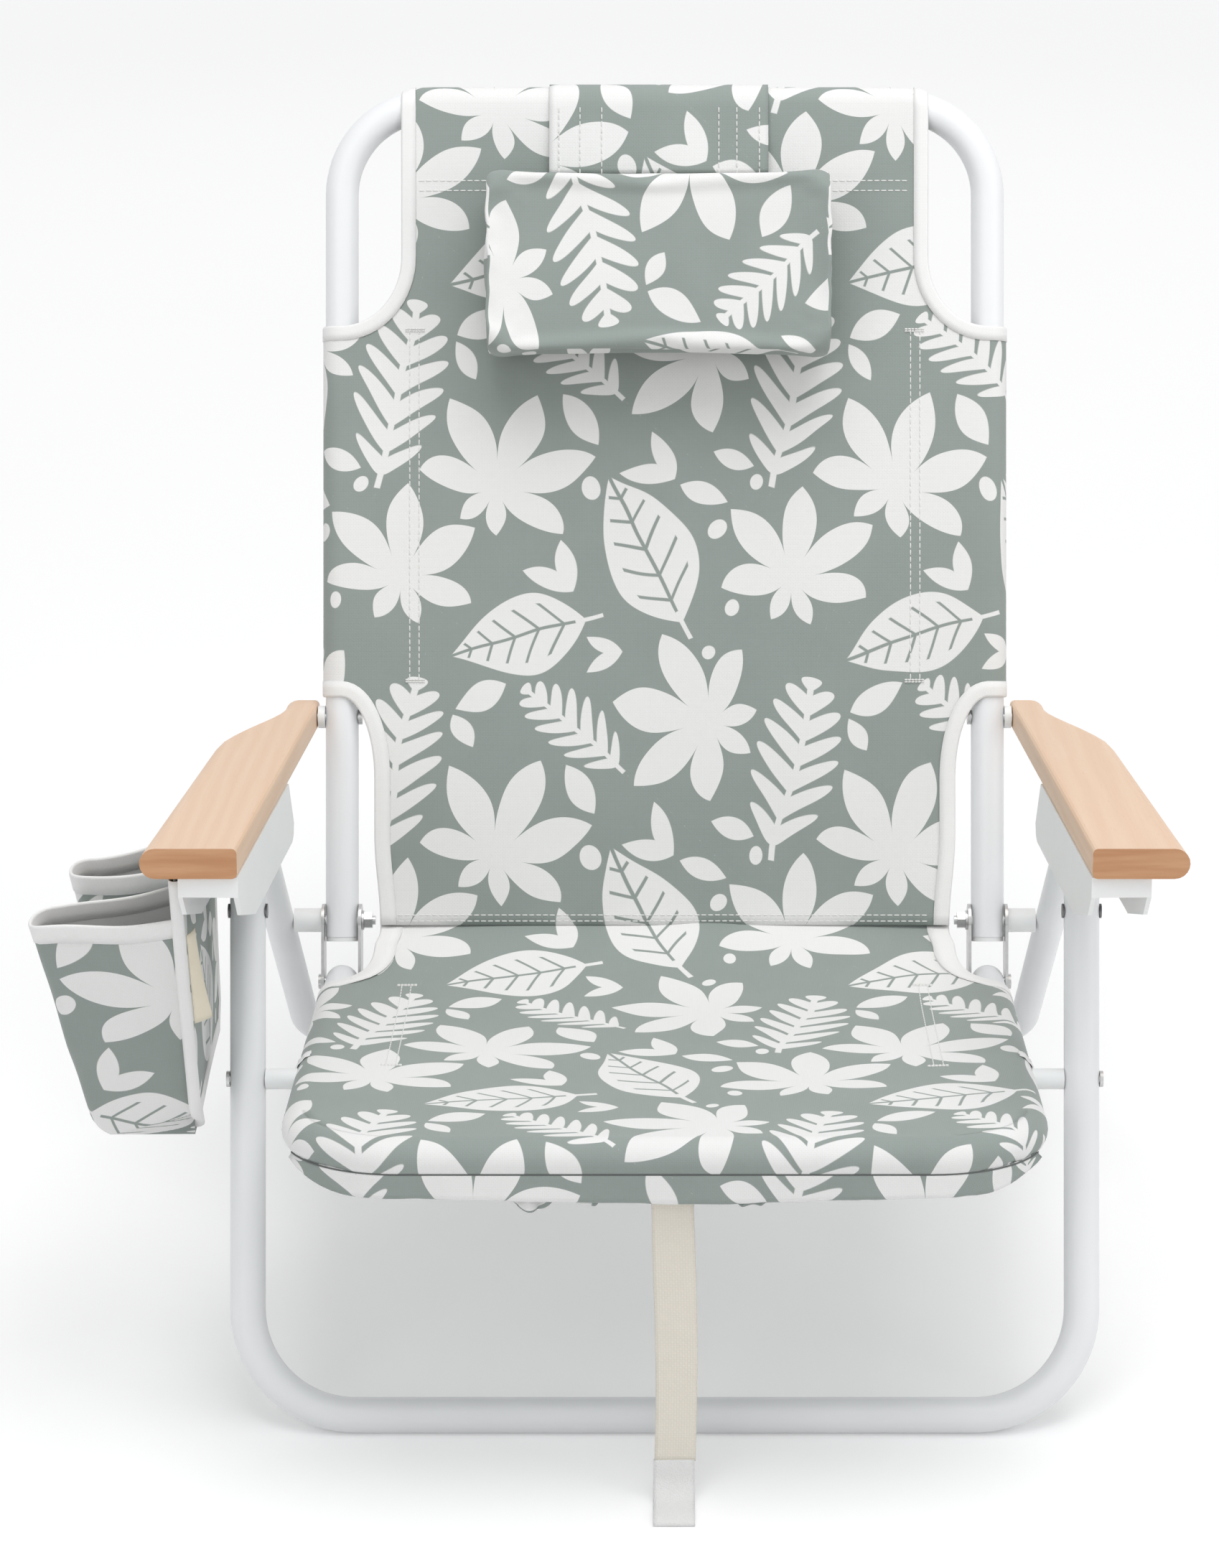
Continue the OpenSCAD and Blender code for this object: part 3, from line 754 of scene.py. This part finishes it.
SLEEVE_REAR = -44.0
PIVOT_SLIT = -217.0
REAR_CUT = 24.0
CREASE_Y, CREASE_Z = 2.5, 38.4
RISE_FROM = -112.0
SEAT_HOLLOW = 4.5
SEAT_PRINT = 6.0  # how far the seat's print is shifted along
SEAT_SEAM = 166.0
BEND_Y = FRAME_BEND - SEAT_LEN
BEND_X = FRAME_X - FRAME_BEND


def seat_half(y):
    """Half the width of the seat cloth behind its front bends."""
    if y <= SLEEVE_REAR:
        return FRAME_X
    if y < SLEEVE_REAR + REAR_CUT:
        return FRAME_X - sqrt(max(REAR_CUT ** 2 - (y - SLEEVE_REAR - REAR_CUT) ** 2, 0.0))
    return mixed(FRAME_X - REAR_CUT, back_half(BACK_LOW), ease((y - SLEEVE_REAR - REAR_CUT) / 16))


def seat_z(x, y):
    """Top of the seat cloth over the seat frame: flat on the tubes, rising to the crease at the back."""
    t = min(max((y - RISE_FROM) / (CREASE_Y - RISE_FROM), 0.0), 1.0)
    side = abs(x) / FRAME_X
    held = 1 - side ** 6 * (1 - ease((y - SLEEVE_REAR) / 30))
    along = min(max((y + SEAT_LEN) / SEAT_LEN, 0.0), 1.0)
    hollow = max(1 - side ** 2, 0.0) * sin(pi * along) ** 0.8
    ripple = 0.8 * sin(x / 47 + y / 58) + 0.7 * sin(x / 83 - y / 37)
    ripple += 1.2 * noise.noise(Vector((x / 55, y / 55, 9.0)))
    return SLEEVE_R + (CREASE_Z - SLEEVE_R) * t ** 1.9 * held - hollow * (SEAT_HOLLOW + ripple)


def seat_at(x, y, lift=0.0):
    return slope(x, y, seat_z(x, y) + lift)


def seat_print(x, y):
    return (x, y - SEAT_PRINT)


LIP_FROM, LIP_OVER = radians(12), radians(55)  # round the front bends
cloth = Cloth()
rows = []
# the seam allowance behind the back cloth's lower edge
for lift, behind in ((9.0, 2.2), (4.0, 1.8)):
    rows.append([
        (lean(x, back_y(x, BACK_LOW) + behind, BACK_LOW + lift), (x, lift))
        for x in [c * back_half(BACK_LOW) for c in COLS]
    ])
seat_rows = spread(CREASE_Y, SLEEVE_REAR + REAR_CUT, 6)
seat_rows += spread(SLEEVE_REAR + REAR_CUT, SLEEVE_REAR, 10)[1:]
seat_rows += spread(SLEEVE_REAR, BEND_Y, 44)[1:]
path = []
for y in seat_rows:
    rows.append([(seat_at(c * seat_half(y), y), seat_print(c * seat_half(y), y)) for c in COLS])
    if y <= SLEEVE_REAR:
        path.append((FRAME_X, y, 1.0, 0.0, 0.0))
for a in spread(0, pi / 2, CUT_STEPS)[1:]:
    half, y = BEND_X + FRAME_BEND * cos(a), BEND_Y - FRAME_BEND * sin(a)
    rows.append([(seat_at(c * half, y), seat_print(c * half, y)) for c in COLS])
    path.append((half, y, cos(a), -sin(a), ease((a - LIP_FROM) / LIP_OVER)))
cloth.grid(rows)
# path: place, outward direction and share of the lip, from the left rear along the front to the right rear
left = [(-x, y, -nx, ny, lip) for x, y, nx, ny, lip in path]
front = [(c * BEND_X, -SEAT_LEN, 0.0, -1.0, 1.0) for c in COLS[1:-1]]
path = left + front + path[::-1]

WRAP_STEPS = 18
UNDER_BAR = 11.4


def sleeve_arc(end):
    """Round the tube from its top: how far out, how high, and the run along the cloth."""
    return [(*polar(SLEEVE_R, a), SLEEVE_R * radians(90 - a)) for a in spread(90, end, WRAP_STEPS)]


SIDE_ARC = sleeve_arc(-114)
out, height, run = SIDE_ARC[-1]
SIDE_ARC += [
    (mixed(out, -48, t), mixed(height, 9.5, t), run + 44 * t) for t in spread(0, 1, 4)[1:]
]
FRONT_ARC = sleeve_arc(-48)
run = FRONT_ARC[-1][2]
FRONT_ARC += [(*polar(UNDER_BAR, a), run + 2 + i) for i, a in enumerate((-50, -60, -75, -90))]


def wrap_row(x, y, nx, ny, lip):
    """The cloth round the tube at a place of path, puckered on the bends."""
    row = []
    for side, front in zip(SIDE_ARC, FRONT_ARC):
        out, height, run = [mixed(a, b, lip) for a, b in zip(side, front)]
        pucker = 0.0
        if 0.05 < lip < 0.98 and height < 6:
            pucker = 0.7 * sin(x / 3.1 + y / 4.3) * ease((6 - height) / 10)
        row.append((slope(x + nx * (out + pucker), y + ny * (out + pucker), height),
                    seat_print(x + nx * run, y + ny * run)))
    return row


cloth.grid([wrap_row(*place) for place in path], flip=True)
seat_cloth = cloth.made("seat_cloth", PRINT, None, 0.9)
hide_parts("seat_fabric")

# The lip sewn on under the front bar, with the turned-up hem behind it
DOWN = (sin(SLOPE), -cos(SLOPE))
LIP_DROP = (12.5, 16.0)
LIP_OUT, LIP_TOP = 10.4, -9.0
LIP_HEM = [(-1.2, -0.9, 1.5), (-2.6, 0.4, 3), (-2.8, 5, 8), (-3.2, 12, 15)]
LIP_PATH = [place for place in path if place[4] >= 0.04]
lip_cloth = Cloth()
rows = []
for x, y, nx, ny, lip in LIP_PATH:
    sway = 0.7 * sin(x / 17) + 0.5 * sin(x / 6.3 + y / 9)
    hang = mixed(*LIP_DROP, max(1 - (x / BEND_X) ** 2, 0.0)) + 0.5 * sin(x / 31 + 1)
    profile = [(9.4, -7.0, 0.0), (LIP_OUT, LIP_TOP, 2.0)]
    for t in spread(0, 1, 6)[1:]:
        profile.append((LIP_OUT + (1.6 + sway) * t, LIP_TOP - hang * t, 2 + hang * t))
    out, height, run = profile[-1]
    profile += [(out + a, height + b, run + c) for a, b, c in LIP_HEM]
    row = []
    for out, height, run in profile:
        drop = min(height - LIP_TOP, 0.0) * lip ** 0.9
        top = max(height, LIP_TOP)
        row.append((slope(x + nx * out, y + ny * out - DOWN[0] * drop, top - DOWN[1] * drop),
                    seat_print(x + nx * (20 + run), y + ny * (34 + run))))
    rows.append(row)
lip_cloth.grid(rows, flip=True)
seat_lip = lip_cloth.made("seat_lip", PRINT, "seat", 0.8)

# A thin dark cord along the seam of the seat's top cloth and the lip: painted shadow of the gap between
# them, not a real thread
SEAM_SHADOW_RING = [(10.3 + 0.5 * cos(a), -7.7 + 0.5 * sin(a)) for a in spread(0, 2 * pi, 6)]
seam = Cloth()
seam.grid([
    [(slope(x + nx * out, y + ny * out, height), (x, height)) for out, height in SEAM_SHADOW_RING]
    for x, y, nx, ny, lip in LIP_PATH
])
seam.made("seat_seam_shadow_cord", SEAM_SHADOW_LOOK, "seat")

# Gathers of the hem that show under the lip: from, to, drop and phase
GATHERS = [(-93, -63, 32.0, 0.4), (-57, -33, 28.5, 2.6), (27, 71, 28.5, 1.9)]
GATHER_TOP = 16
gather = Cloth()
for x0, x1, drop, phase in GATHERS:
    rows = []
    for x in spread(x0, x1, 44):
        t = (x - x0) / (x1 - x0)
        fullness = sin(pi * t) ** 0.5
        row = []
        for h in spread(0, 1, 8):
            y = -SEAT_LEN - 4.5 + (0.8 + 1.8 * h) * sin(x / 1.7 + phase + h)
            z = mixed(-GATHER_TOP, -GATHER_TOP - (drop - GATHER_TOP) * fullness, h)
            row.append((slope(x + 0.8 * sin(h * 5 + x / 1.9), y, z), (x, -SEAT_LEN - 60 - 20 * h)))
        rows.append(row)
    gather.grid(rows)
gather.made("hem_gathers", PRINT, "seat", 0.6)

# White tape along the seat's rear cut-outs and round the pivot slits
tape_mesh = Cloth()
for side in (-1, 1):
    points, normals, hints = [], [], []
    for y in [y for y in seat_rows if y > SLEEVE_REAR + 0.5]:
        points.append(seat_at(side * seat_half(y), y))
        normals.append(SEAT_UP)
        hints.append(ACROSS * -side - SEAT_REAR * 0.6)
    for out, height, run in SIDE_ARC[:WRAP_STEPS + 1]:
        points.append(slope(side * (FRAME_X + out), SLEEVE_REAR, height))
        normals.append((ACROSS * (side * out) + SEAT_UP * height).normalized())
        hints.append(-SEAT_REAR)
    bound_edge(tape_mesh, edge_path(points, normals, hints), flat_fold(14.0))
seat_tape = tape_mesh.made("seat_cutout_tape", BINDING, None, 0.4)

tape_mesh = Cloth()
for side in (-1, 1):
    rows = []
    for a in spread(72, -112, 30):
        c, s = polar(1, a)
        row = []
        for t in spread(-1, 1, 8):
            r = SLEEVE_R + 1.2 + 0.7 * sin(3.1 * t + a / 7) * (1 - t * t) + 0.3 * sin(a / 4)
            y = PIVOT_SLIT + 7.5 * s + 5.5 * t
            row.append((slope(side * (FRAME_X + r * c), y, r * s), (a / 5, 6 * t)))
        rows.append(row)
    tape_mesh.grid(rows, flip=side > 0)
tape_mesh.made("pivot_slit_tape", BINDING, "seat", 0.5)

CREASE = slope(0, CREASE_Y, CREASE_Z)
BLEND_FROM = slope(0, -62, SLEEVE_R + 3)
for soft in (seat_cloth, seat_tape):
    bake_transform(soft)

thread_seat = Stitches()
thread_seat.sleeves(seat_at, SEAT_UP, SEAT_SEAM, 6, spread(-66, -232, 50), (-65, -233))
thread_seat.made("seat_stitches", "seat")

# Head pillow: a boxed cushion, swollen by a cloth simulation, with sewn side edges

PILLOW_AT = (-4.0, -42.0, 434.5)
PILLOW_HALF = (112.5, 23.0, 61.0)
PILLOW_CORNER = 15.0
PILLOW_PRINT = (131, -36)
SWELL_STEPS = 20


def swell(made, pressure, cap):
    """Blows a cushion up a little with Blender's cloth and keeps the result in its mesh."""
    before = [v.co.copy() for v in made.data.vertices]
    sim = made.modifiers.new("cloth", "CLOTH")
    sim.settings.use_pressure = True
    sim.settings.uniform_pressure_force = pressure
    sim.settings.effector_weights.gravity = 0
    sim.settings.tension_stiffness = 12
    sim.settings.compression_stiffness = 12
    sim.settings.bending_stiffness = 0.3
    sim.collision_settings.use_collision = False
    for step in range(1, SWELL_STEPS + 1):
        scene.frame_set(step)
    shaped = made.evaluated_get(bpy.context.evaluated_depsgraph_get())
    after = [v.co.copy() for v in shaped.data.vertices]
    made.modifiers.remove(sim)
    for v, a, b in zip(made.data.vertices, before, after):
        move = b - a
        v.co = a + (move * (cap / move.length) if move.length > cap else move)
    scene.frame_set(1)


def pillow_section(half_y, half_z, r, count):
    """Points round the cushion's side view, from the middle of its back, with the run along the cloth."""
    wide, tall = half_y - r, half_z - r
    corners = [(half_y, 0.0)]
    for cy, cz, turn in ((wide, tall, 0), (-wide, tall, 90), (-wide, -tall, 180), (wide, -tall, 270)):
        for a in spread(turn, turn + 90, 12):
            y, z = polar(r, a)
            corners.append((cy + y, cz + z))
    return paced(corners + [(half_y, 0.0)], count)


SECTION = pillow_section(PILLOW_HALF[1], PILLOW_HALF[2], PILLOW_CORNER, 84)
OUTLINE = [(y, z) for y, z, run in SECTION[:-1]]
STATIONS = spread(-1, 1, 46)
LAST = len(OUTLINE)


def pillow_at(x, y, z):
    return lean(x + PILLOW_AT[0], y + PILLOW_AT[1], z + PILLOW_AT[2])


points, faces, prints = [], [], []
for c in STATIONS:
    drawn = 1 - 0.035 * max(abs(c) - 0.93, 0.0) / 0.07
    points += [pillow_at(c * PILLOW_HALF[0], y * drawn, z * drawn) for y, z in OUTLINE]
for i in range(len(STATIONS) - 1):
    for j in range(LAST):
        k = (j + 1) % LAST
        faces.append((i * LAST + j, (i + 1) * LAST + j, (i + 1) * LAST + k, i * LAST + k))
        low, high = STATIONS[i] * PILLOW_HALF[0], STATIONS[i + 1] * PILLOW_HALF[0]
        r0, r1 = SECTION[j][2], SECTION[j + 1][2]
        prints.append(((low, r0), (high, r0), (high, r1), (low, r1)))
# the side pieces, full between their seams
for end, first in ((-1, 0), (1, (len(STATIONS) - 1) * LAST)):
    ring, plan = list(range(first, first + LAST)), OUTLINE
    for share in (0.90, 0.74, 0.55, 0.34, 0.12):
        x = end * (PILLOW_HALF[0] + 4.5 * sin(0.5 * pi * (1 - share) ** 0.7))
        inner = list(range(len(points), len(points) + LAST))
        inner_plan = [(y * share, z * share) for y, z in OUTLINE]
        points += [pillow_at(x, y, z) for y, z in inner_plan]
        for j in range(LAST):
            k = (j + 1) % LAST
            face = (ring[j], ring[k], inner[k], inner[j])
            spot = (plan[j], plan[k], inner_plan[k], inner_plan[j])
            faces.append(face if end < 0 else face[::-1])
            prints.append(spot if end < 0 else spot[::-1])
        ring, plan = inner, inner_plan
    faces.append(tuple(ring[::-1]) if end > 0 else tuple(ring))
    prints.append(tuple(plan[::-1]) if end > 0 else tuple(plan))
pillow = added("head_pillow", points, faces, PRINT)
layer = pillow.data.uv_layers.new(name="print")
for polygon, spots in zip(pillow.data.polygons, prints):
    for index, (u, v) in zip(polygon.loop_indices, spots):
        layer.data[index].uv = ((u + PILLOW_PRINT[0]) * MM, (v + PILLOW_PRINT[1]) * MM)
swell(pillow, 4.0, 0.007)


def to_lean(co):
    """lean the other way round."""
    y, z = co.y / MM - HIGH_BOLT[0], co.z / MM - HIGH_BOLT[1]
    c, s = cos(RECLINE), sin(RECLINE)
    return co.x / MM, y * c - z * s, y * s + z * c


# The swollen cushion gets its height back, creases at its seams and a flat rear
BACK_GAP = -SLEEVE_R - 2.4
puffed = [to_lean(v.co) for v in pillow.data.vertices]
low, high = min(z for x, y, z in puffed), max(z for x, y, z in puffed)
stretch = 2 * PILLOW_HALF[2] / (high - low)
for v, (x, y, z) in zip(pillow.data.vertices, puffed):
    z = PILLOW_AT[2] + (z - (low + high) / 2) * stretch
    edge = min(abs(x - PILLOW_AT[0]) / PILLOW_HALF[0], 1.0)
    tuck = 0.9 * sin(z / 3.6 + y / 5) + 0.8 * noise.noise(Vector((z / 9, y / 9, 5.0)))
    tuck *= edge ** 14
    rumple = 1.1 * noise.noise(Vector((x / 34, y / 34, z / 34)))
    y = min(y + rumple - 0.4 * tuck, BACK_GAP)
    v.co = lean(x + 0.6 * tuck, y, z + 0.5 * rumple)
pillow.modifiers.new("fine", "SUBSURF").levels = 1
pillow.modifiers["fine"].render_levels = 1
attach(pillow, "pillow")
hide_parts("pillow")

# Flap that carries the pillow: over the top bar and down behind it

FLAP = (-77.0, 69.0)
FLAP_R = SLEEVE_R + 1.5
FLAP_LOW, FLAP_TAIL = 497.0, 455.0
FLAP_PRINT = (240, 33)
FLAP_SEAMS = (-70.5, -56.5, -42, 36, 48, 63)
cloth = Cloth()
flap_front = [
    (-FLAP_R - 0.4 - 2.2 * ease((BACK_LEN - z) / 45), z, z) for z in spread(FLAP_LOW, BACK_LEN, 12)
]
profile = flap_front + [
    (-FLAP_R * cos(a), BACK_LEN + FLAP_R * sin(a), BACK_LEN + FLAP_R * a)
    for a in spread(0, pi, 16)[1:]
]
profile += [(FLAP_R, z, 2 * BACK_LEN + FLAP_R * pi - z) for z in spread(BACK_LEN, FLAP_TAIL, 14)[1:]]
flap_cols = spread(*FLAP, 36)


def flap_wave(x, z):
    """Shallow folds below the bar."""
    return 0.35 * sin(x / 9.0) * ease((BACK_LEN - z) / 50)


cloth.grid([
    [(lean(x, y - flap_wave(x, z), z), (x + FLAP_PRINT[0], v + FLAP_PRINT[1])) for x in flap_cols]
    for y, z, v in profile
])
pillow_flap = cloth.made("flap_cloth", PRINT, None, 1.4)
FLAP_BEND = {"start": lean(0, -16, 509), "end": lean(0, -20, 507.4)}
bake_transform(pillow_flap)
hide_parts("pillow_flap")
thread_flap = Stitches()
for x in FLAP_SEAMS:
    points = [lean(x, y - flap_wave(x, z) - 0.95, z) for y, z, v in flap_front]
    thread_flap.line(points, LEAN_FRONT)
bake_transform(thread_flap.made("flap_stitches", None))

# Arm pouch: a bound panel under the left arm with two open pockets on its outer side

PANEL_X = -286.0
PANEL_LOW = 188.0
PANEL_TOP_Z = 385.0


def panel_top(d):
    """Underside of the arm at a distance behind the panel's front edge."""
    return PANEL_TOP_Z - d * sin(SLOPE) / cos(SLOPE)


def rounding(t):
    """How far the panel's lower corners are drawn in."""
    return ease((t - 0.88) / 0.12)


def panel_front(t):
    """Place of the front edge, from the top at 0 to the rounded point at 1."""
    return 4 + 52 * t + 10 * rounding(t)


def panel_rear(t):
    return 214 - 8 * t - 12 * rounding(t)


def panel_point(s, t):
    """Point and print place, from front to rear and from the arm down, each from 0 to 1."""
    d = mixed(panel_front(t), panel_rear(t), s)
    z = mixed(panel_top(d) - 0.6, PANEL_LOW + 3 * sin(pi * s), t)
    hang = 2.6 * sin(pi * t) * sin(pi * s) + 1.4 * sin(d / 21 + z / 33) * t * (1 - t)
    return upright(PANEL_X + hang, POUCH_Y + d, z), (d + 400, z)


cloth = Cloth()
cloth.grid([[panel_point(s, t) for s in spread(0, 1, 40)] for t in spread(0, 1, 36)])
pouch_panel = cloth.made("pouch_panel", PRINT, "arms", 1.0)
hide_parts("organiser_panel")
PADDED_EDGE = [
    (14.0, 0.9), (10.0, 1.6), (5.0, 3.0), (1.5, 3.7), (-0.5, 3.3), (-1.6, 1.8), (-2.0, 0.0),
]
tape_mesh = Cloth()
middle = panel_point(0.5, 0.5)[0]
low_and_rear = [(s, 1.0) for s in spread(0.03, 1, 30)] + [(1.0, t) for t in spread(1, 0.02, 30)[1:]]
front = [(0.0, t) for t in spread(0.02, 1, 34)]
for places, section in ((low_and_rear, flat_fold(12.0, 1.1)), (front, PADDED_EDGE)):
    points = [panel_point(s, t)[0] for s, t in places]
    hints = [middle - co for co in points]
    bound_edge(tape_mesh, edge_path(points, [-ACROSS] * len(points), hints), section)
tape_mesh.made("pouch_panel_tape", BINDING, "arms", 0.4)

RING = 48


def rounded_plan(corners, count):
    """An open line through corners, its bends cut round, walked at even steps."""
    for _ in range(3):
        cut = [corners[0]]
        for a, b in zip(corners, corners[1:]):
            cut += [tuple(mixed(p, q, share) for p, q in zip(a, b)) for share in (0.25, 0.75)]
        corners = cut + [corners[-1]]
    return paced(corners, count)


def pocket_plan(t, out, slant):
    """Plan of a pocket at height share t: long on the panel, a narrow end outside, set back lower down."""
    reach = out * mixed(0.7, 1.0, t) * (1 - 0.10 * max(1 - t / 0.10, 0.0) ** 2)
    length = mixed(46, 54, t)
    set_back = slant * (1 - t)
    tip = 0.4 * length
    corners = [(0, 0), (12 - reach, -5), (2 - reach, -4.5), (-reach, 3), (1.5 - reach, tip - 7),
               (8 - reach, tip), (16 - reach, tip + 1), (0, length)]
    return rounded_plan([(x, y + set_back) for x, y in corners], RING)


def pocket(name, node, behind, out, rim, deep, slant, phase):
    """An open pocket on the panel: how far back, how far out, its rim's height, depth and set-back."""
    cloth = Cloth()
    x0 = PANEL_X - 1.3
    y0 = POUCH_Y + behind
    rows = []
    for t in spread(0, 0.2, 8) + spread(0.2, 1, 20)[1:]:
        row = []
        for x, y, run in pocket_plan(t, out, slant):
            far = -x / out
            raised = 15 * max(1 - far / 0.7, 0.0) * max(1 - t / 0.35, 0.0) ** 2
            z = rim - deep * (1 - t) + raised
            full = 3.2 * sin(pi * min(t * 1.05, 1.0)) * sin(pi * min(far, 1.0))
            slack = 4.0 * noise.noise(Vector((x / 30, z / 34, phase)))
            slack = slack * sin(pi * min(t, 0.93)) * min(3 * far, 1.0)
            rim_sag = (1.6 * sin(x / 14 + phase) - 3.0 * far) * t ** 4
            front = 1 if run < 0.55 * out + 40 else -1
            co = upright(x0 + x + 0.3 * slack, y0 + y - front * full + slack, z + rim_sag)
            row.append((co, (run + 640 + phase * 90, z)))
        rows.append(row)
    floor = [(upright(x0, co.y / MM, co.z / MM + 0.4), (uv[0], uv[1] - 30)) for co, uv in rows[0]]
    cloth.grid([floor] + rows, flip=True)
    made = cloth.made(name, PRINT, "arms", 1.1)
    made.data.materials.append(LINING)
    made.modifiers["thickness"].material_offset = 1
    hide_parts(node)
    rim_tape = Cloth()
    edge = [co for co, uv in rows[-1]]
    band = []
    for k, co in enumerate(edge):
        along = (edge[min(k + 1, RING)] - edge[max(k - 1, 0)]).normalized()
        down = (rows[-4][k][0] - co).normalized()
        band.append((co, down, down.cross(along).normalized()))
    bound_edge(rim_tape, band, flat_fold(12.5, 0.95))
    rim_tape.made(name + "_rim", BINDING, "arms", 0.4)


pocket(
    "pouch_front_pocket", "front_pocket",
    behind=16, out=87, rim=348, deep=165, slant=46, phase=0.4,
)
pocket(
    "pouch_rear_pocket", "rear_pocket",
    behind=106, out=75, rim=341, deep=153, slant=27, phase=1.7,
)

# Blank cream tab at the panel's front edge, its free side curled towards the chair
TAB = (338, 272)  # top and bottom
cloth = Cloth()
rows = []
for t in spread(0, 1, 16):
    z = mixed(*TAB, t)
    d = panel_front((PANEL_TOP_Z - z) / (PANEL_TOP_Z - PANEL_LOW)) + 1
    curl = 3.0 + 6.5 * (0.2 + 0.8 * t) ** 2
    rows.append([
        (upright(PANEL_X + 4.4 + curl * sin(0.5 * pi * s), POUCH_Y + d + 11 * s, z), (14 * s, z))
        for s in spread(0, 1, 8)
    ])
cloth.grid(rows)
tab = cloth.made("blank_tab", CREAM, "arms", 0.8, "cream_tape")
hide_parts("organiser_tab")

# Closing strap: webbing that hangs from the seat front to the floor, with a hook-and-loop end

STRAP_Y = -74.6
STRAP_HALF = 12.5
STRAP_TOP, STRAP_JOIN, STRAP_BEND = 216.0, 25.0, 14.4
STRAP_X = 5.5
HOOK_Y = STRAP_Y - 0.2
HOOK_LOW = 1.2


def strap_rows(profile, sway):
    """Rows across the strap along its side view, which sways a little where it hangs."""
    rows = []
    run = 0.0
    for i, (y, z) in enumerate(profile):
        run += sqrt((y - profile[i - 1][0]) ** 2 + (z - profile[i - 1][1]) ** 2) if i else 0.0
        shift = STRAP_X + sway * 1.5 * sin(z / 52)
        row = []
        for x in spread(-STRAP_HALF, STRAP_HALF, 10):
            across = x * (1 - 0.012 * sin(z / 30)) + shift
            row.append((upright(across, y + 0.5 * sway * sin(z / 33 + x / 15), z), (x, run)))
        rows.append(row)
    return rows


cloth = Cloth()
profile = [(STRAP_Y, z) for z in spread(STRAP_TOP, STRAP_JOIN - 1, 50)]
cloth.grid(strap_rows(profile, 1.0))
strap = cloth.made("strap_webbing", WEBBING, "seat", 1.5, "webbing")
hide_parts("closure_strap")
cloth = Cloth()
profile = [(HOOK_Y, z) for z in spread(STRAP_JOIN, STRAP_BEND, 8)]
bend_r = STRAP_BEND - HOOK_LOW
profile += [
    (HOOK_Y - bend_r * (1 - cos(a)), STRAP_BEND - bend_r * sin(a)) for a in spread(0, pi / 2, 10)[1:]
]
profile += [(HOOK_Y - bend_r - 22 * t, HOOK_LOW + 0.9 * sin(pi * t)) for t in spread(0, 1, 8)[1:]]
cloth.grid(strap_rows(profile, 0.0))
hook = cloth.made("strap_hook_tape", HOOK, "seat", 1.6, "hook_tape")
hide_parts("strap_hook_end")

# Floor, light and camera

NEAR_GLOW, FAR_GLOW, EDGE_GLOW = 0.18, 0.16, 0.45
SKY_LIGHT, SKY_SHOWN = 0.53, 0.96

g = Graph("floor")
x, y, z = g.split(g.place())
away = (x * x + y * y).root()
glow = NEAR_GLOW + FAR_GLOW * g.limited(away, 0.7, 3.3) + EDGE_GLOW * g.limited(away, 3.6, 7.5)
g.put(g.shader.inputs["Emission Strength"], glow * g.shown())
tone = g.colour(g.noise(g.place(), 3), (0.89, 0.89, 0.89), (0.905, 0.905, 0.905))
floor_look = g.finish(tone, 0.9, Emission_Color=(1, 1, 1, 1))
disc = Cloth()
disc.grid([
    [(upright(r * cos(a), r * sin(a), 0), (r, a)) for a in spread(0, 2 * pi, 72)]
    for r in (0, 600, 2500, 9000)
])
floor = added("studio_floor", disc.points, disc.faces, floor_look)

sky = Graph("studio", bpy.data.worlds, "Background")
sky.put(sky.shader.inputs["Color"], (0.985, 0.99, 1.0, 1))
sky.put(sky.shader.inputs["Strength"], SKY_LIGHT + (SKY_SHOWN - SKY_LIGHT) * sky.shown())
scene.world = sky.owner


def softbox(name, at, aim, size, watts):
    light = bpy.data.lights.new(name, "AREA")
    light.shape = "RECTANGLE"
    light.size, light.size_y = size
    light.energy = watts
    made = bpy.data.objects.new(name, light)
    made.location = at
    made.rotation_euler = (Vector(aim) - Vector(at)).to_track_quat("-Z", "Y").to_euler()
    scene.collection.objects.link(made)


CHAIR = (0, 0.2, 0.35)
softbox("top_softbox", (0.3, -0.2, 3.0), (0, 0.25, 0.3), (2.4, 2.0), 47)
softbox("front_softbox", (-1.6, -2.4, 1.9), CHAIR, (1.8, 1.8), 12)
softbox("side_softbox", (2.4, -0.8, 1.4), CHAIR, (1.4, 1.8), 10)

# The camera of the photo, which is 2184 pixels high and has the chair 77 pixels off its middle
PITCH = radians(23)
camera = bpy.data.cameras.new("camera")
camera.sensor_fit = "AUTO"
camera.sensor_width = 36
camera.lens = 98.9
camera.shift_x = -77 / 2184
view = bpy.data.objects.new("camera", camera)
view.location = (0, -2.302, 1.412)
view.rotation_euler = (pi / 2 - PITCH, 0, 0)
scene.collection.objects.link(view)
scene.camera = view
scene.view_settings.view_transform = "Standard"
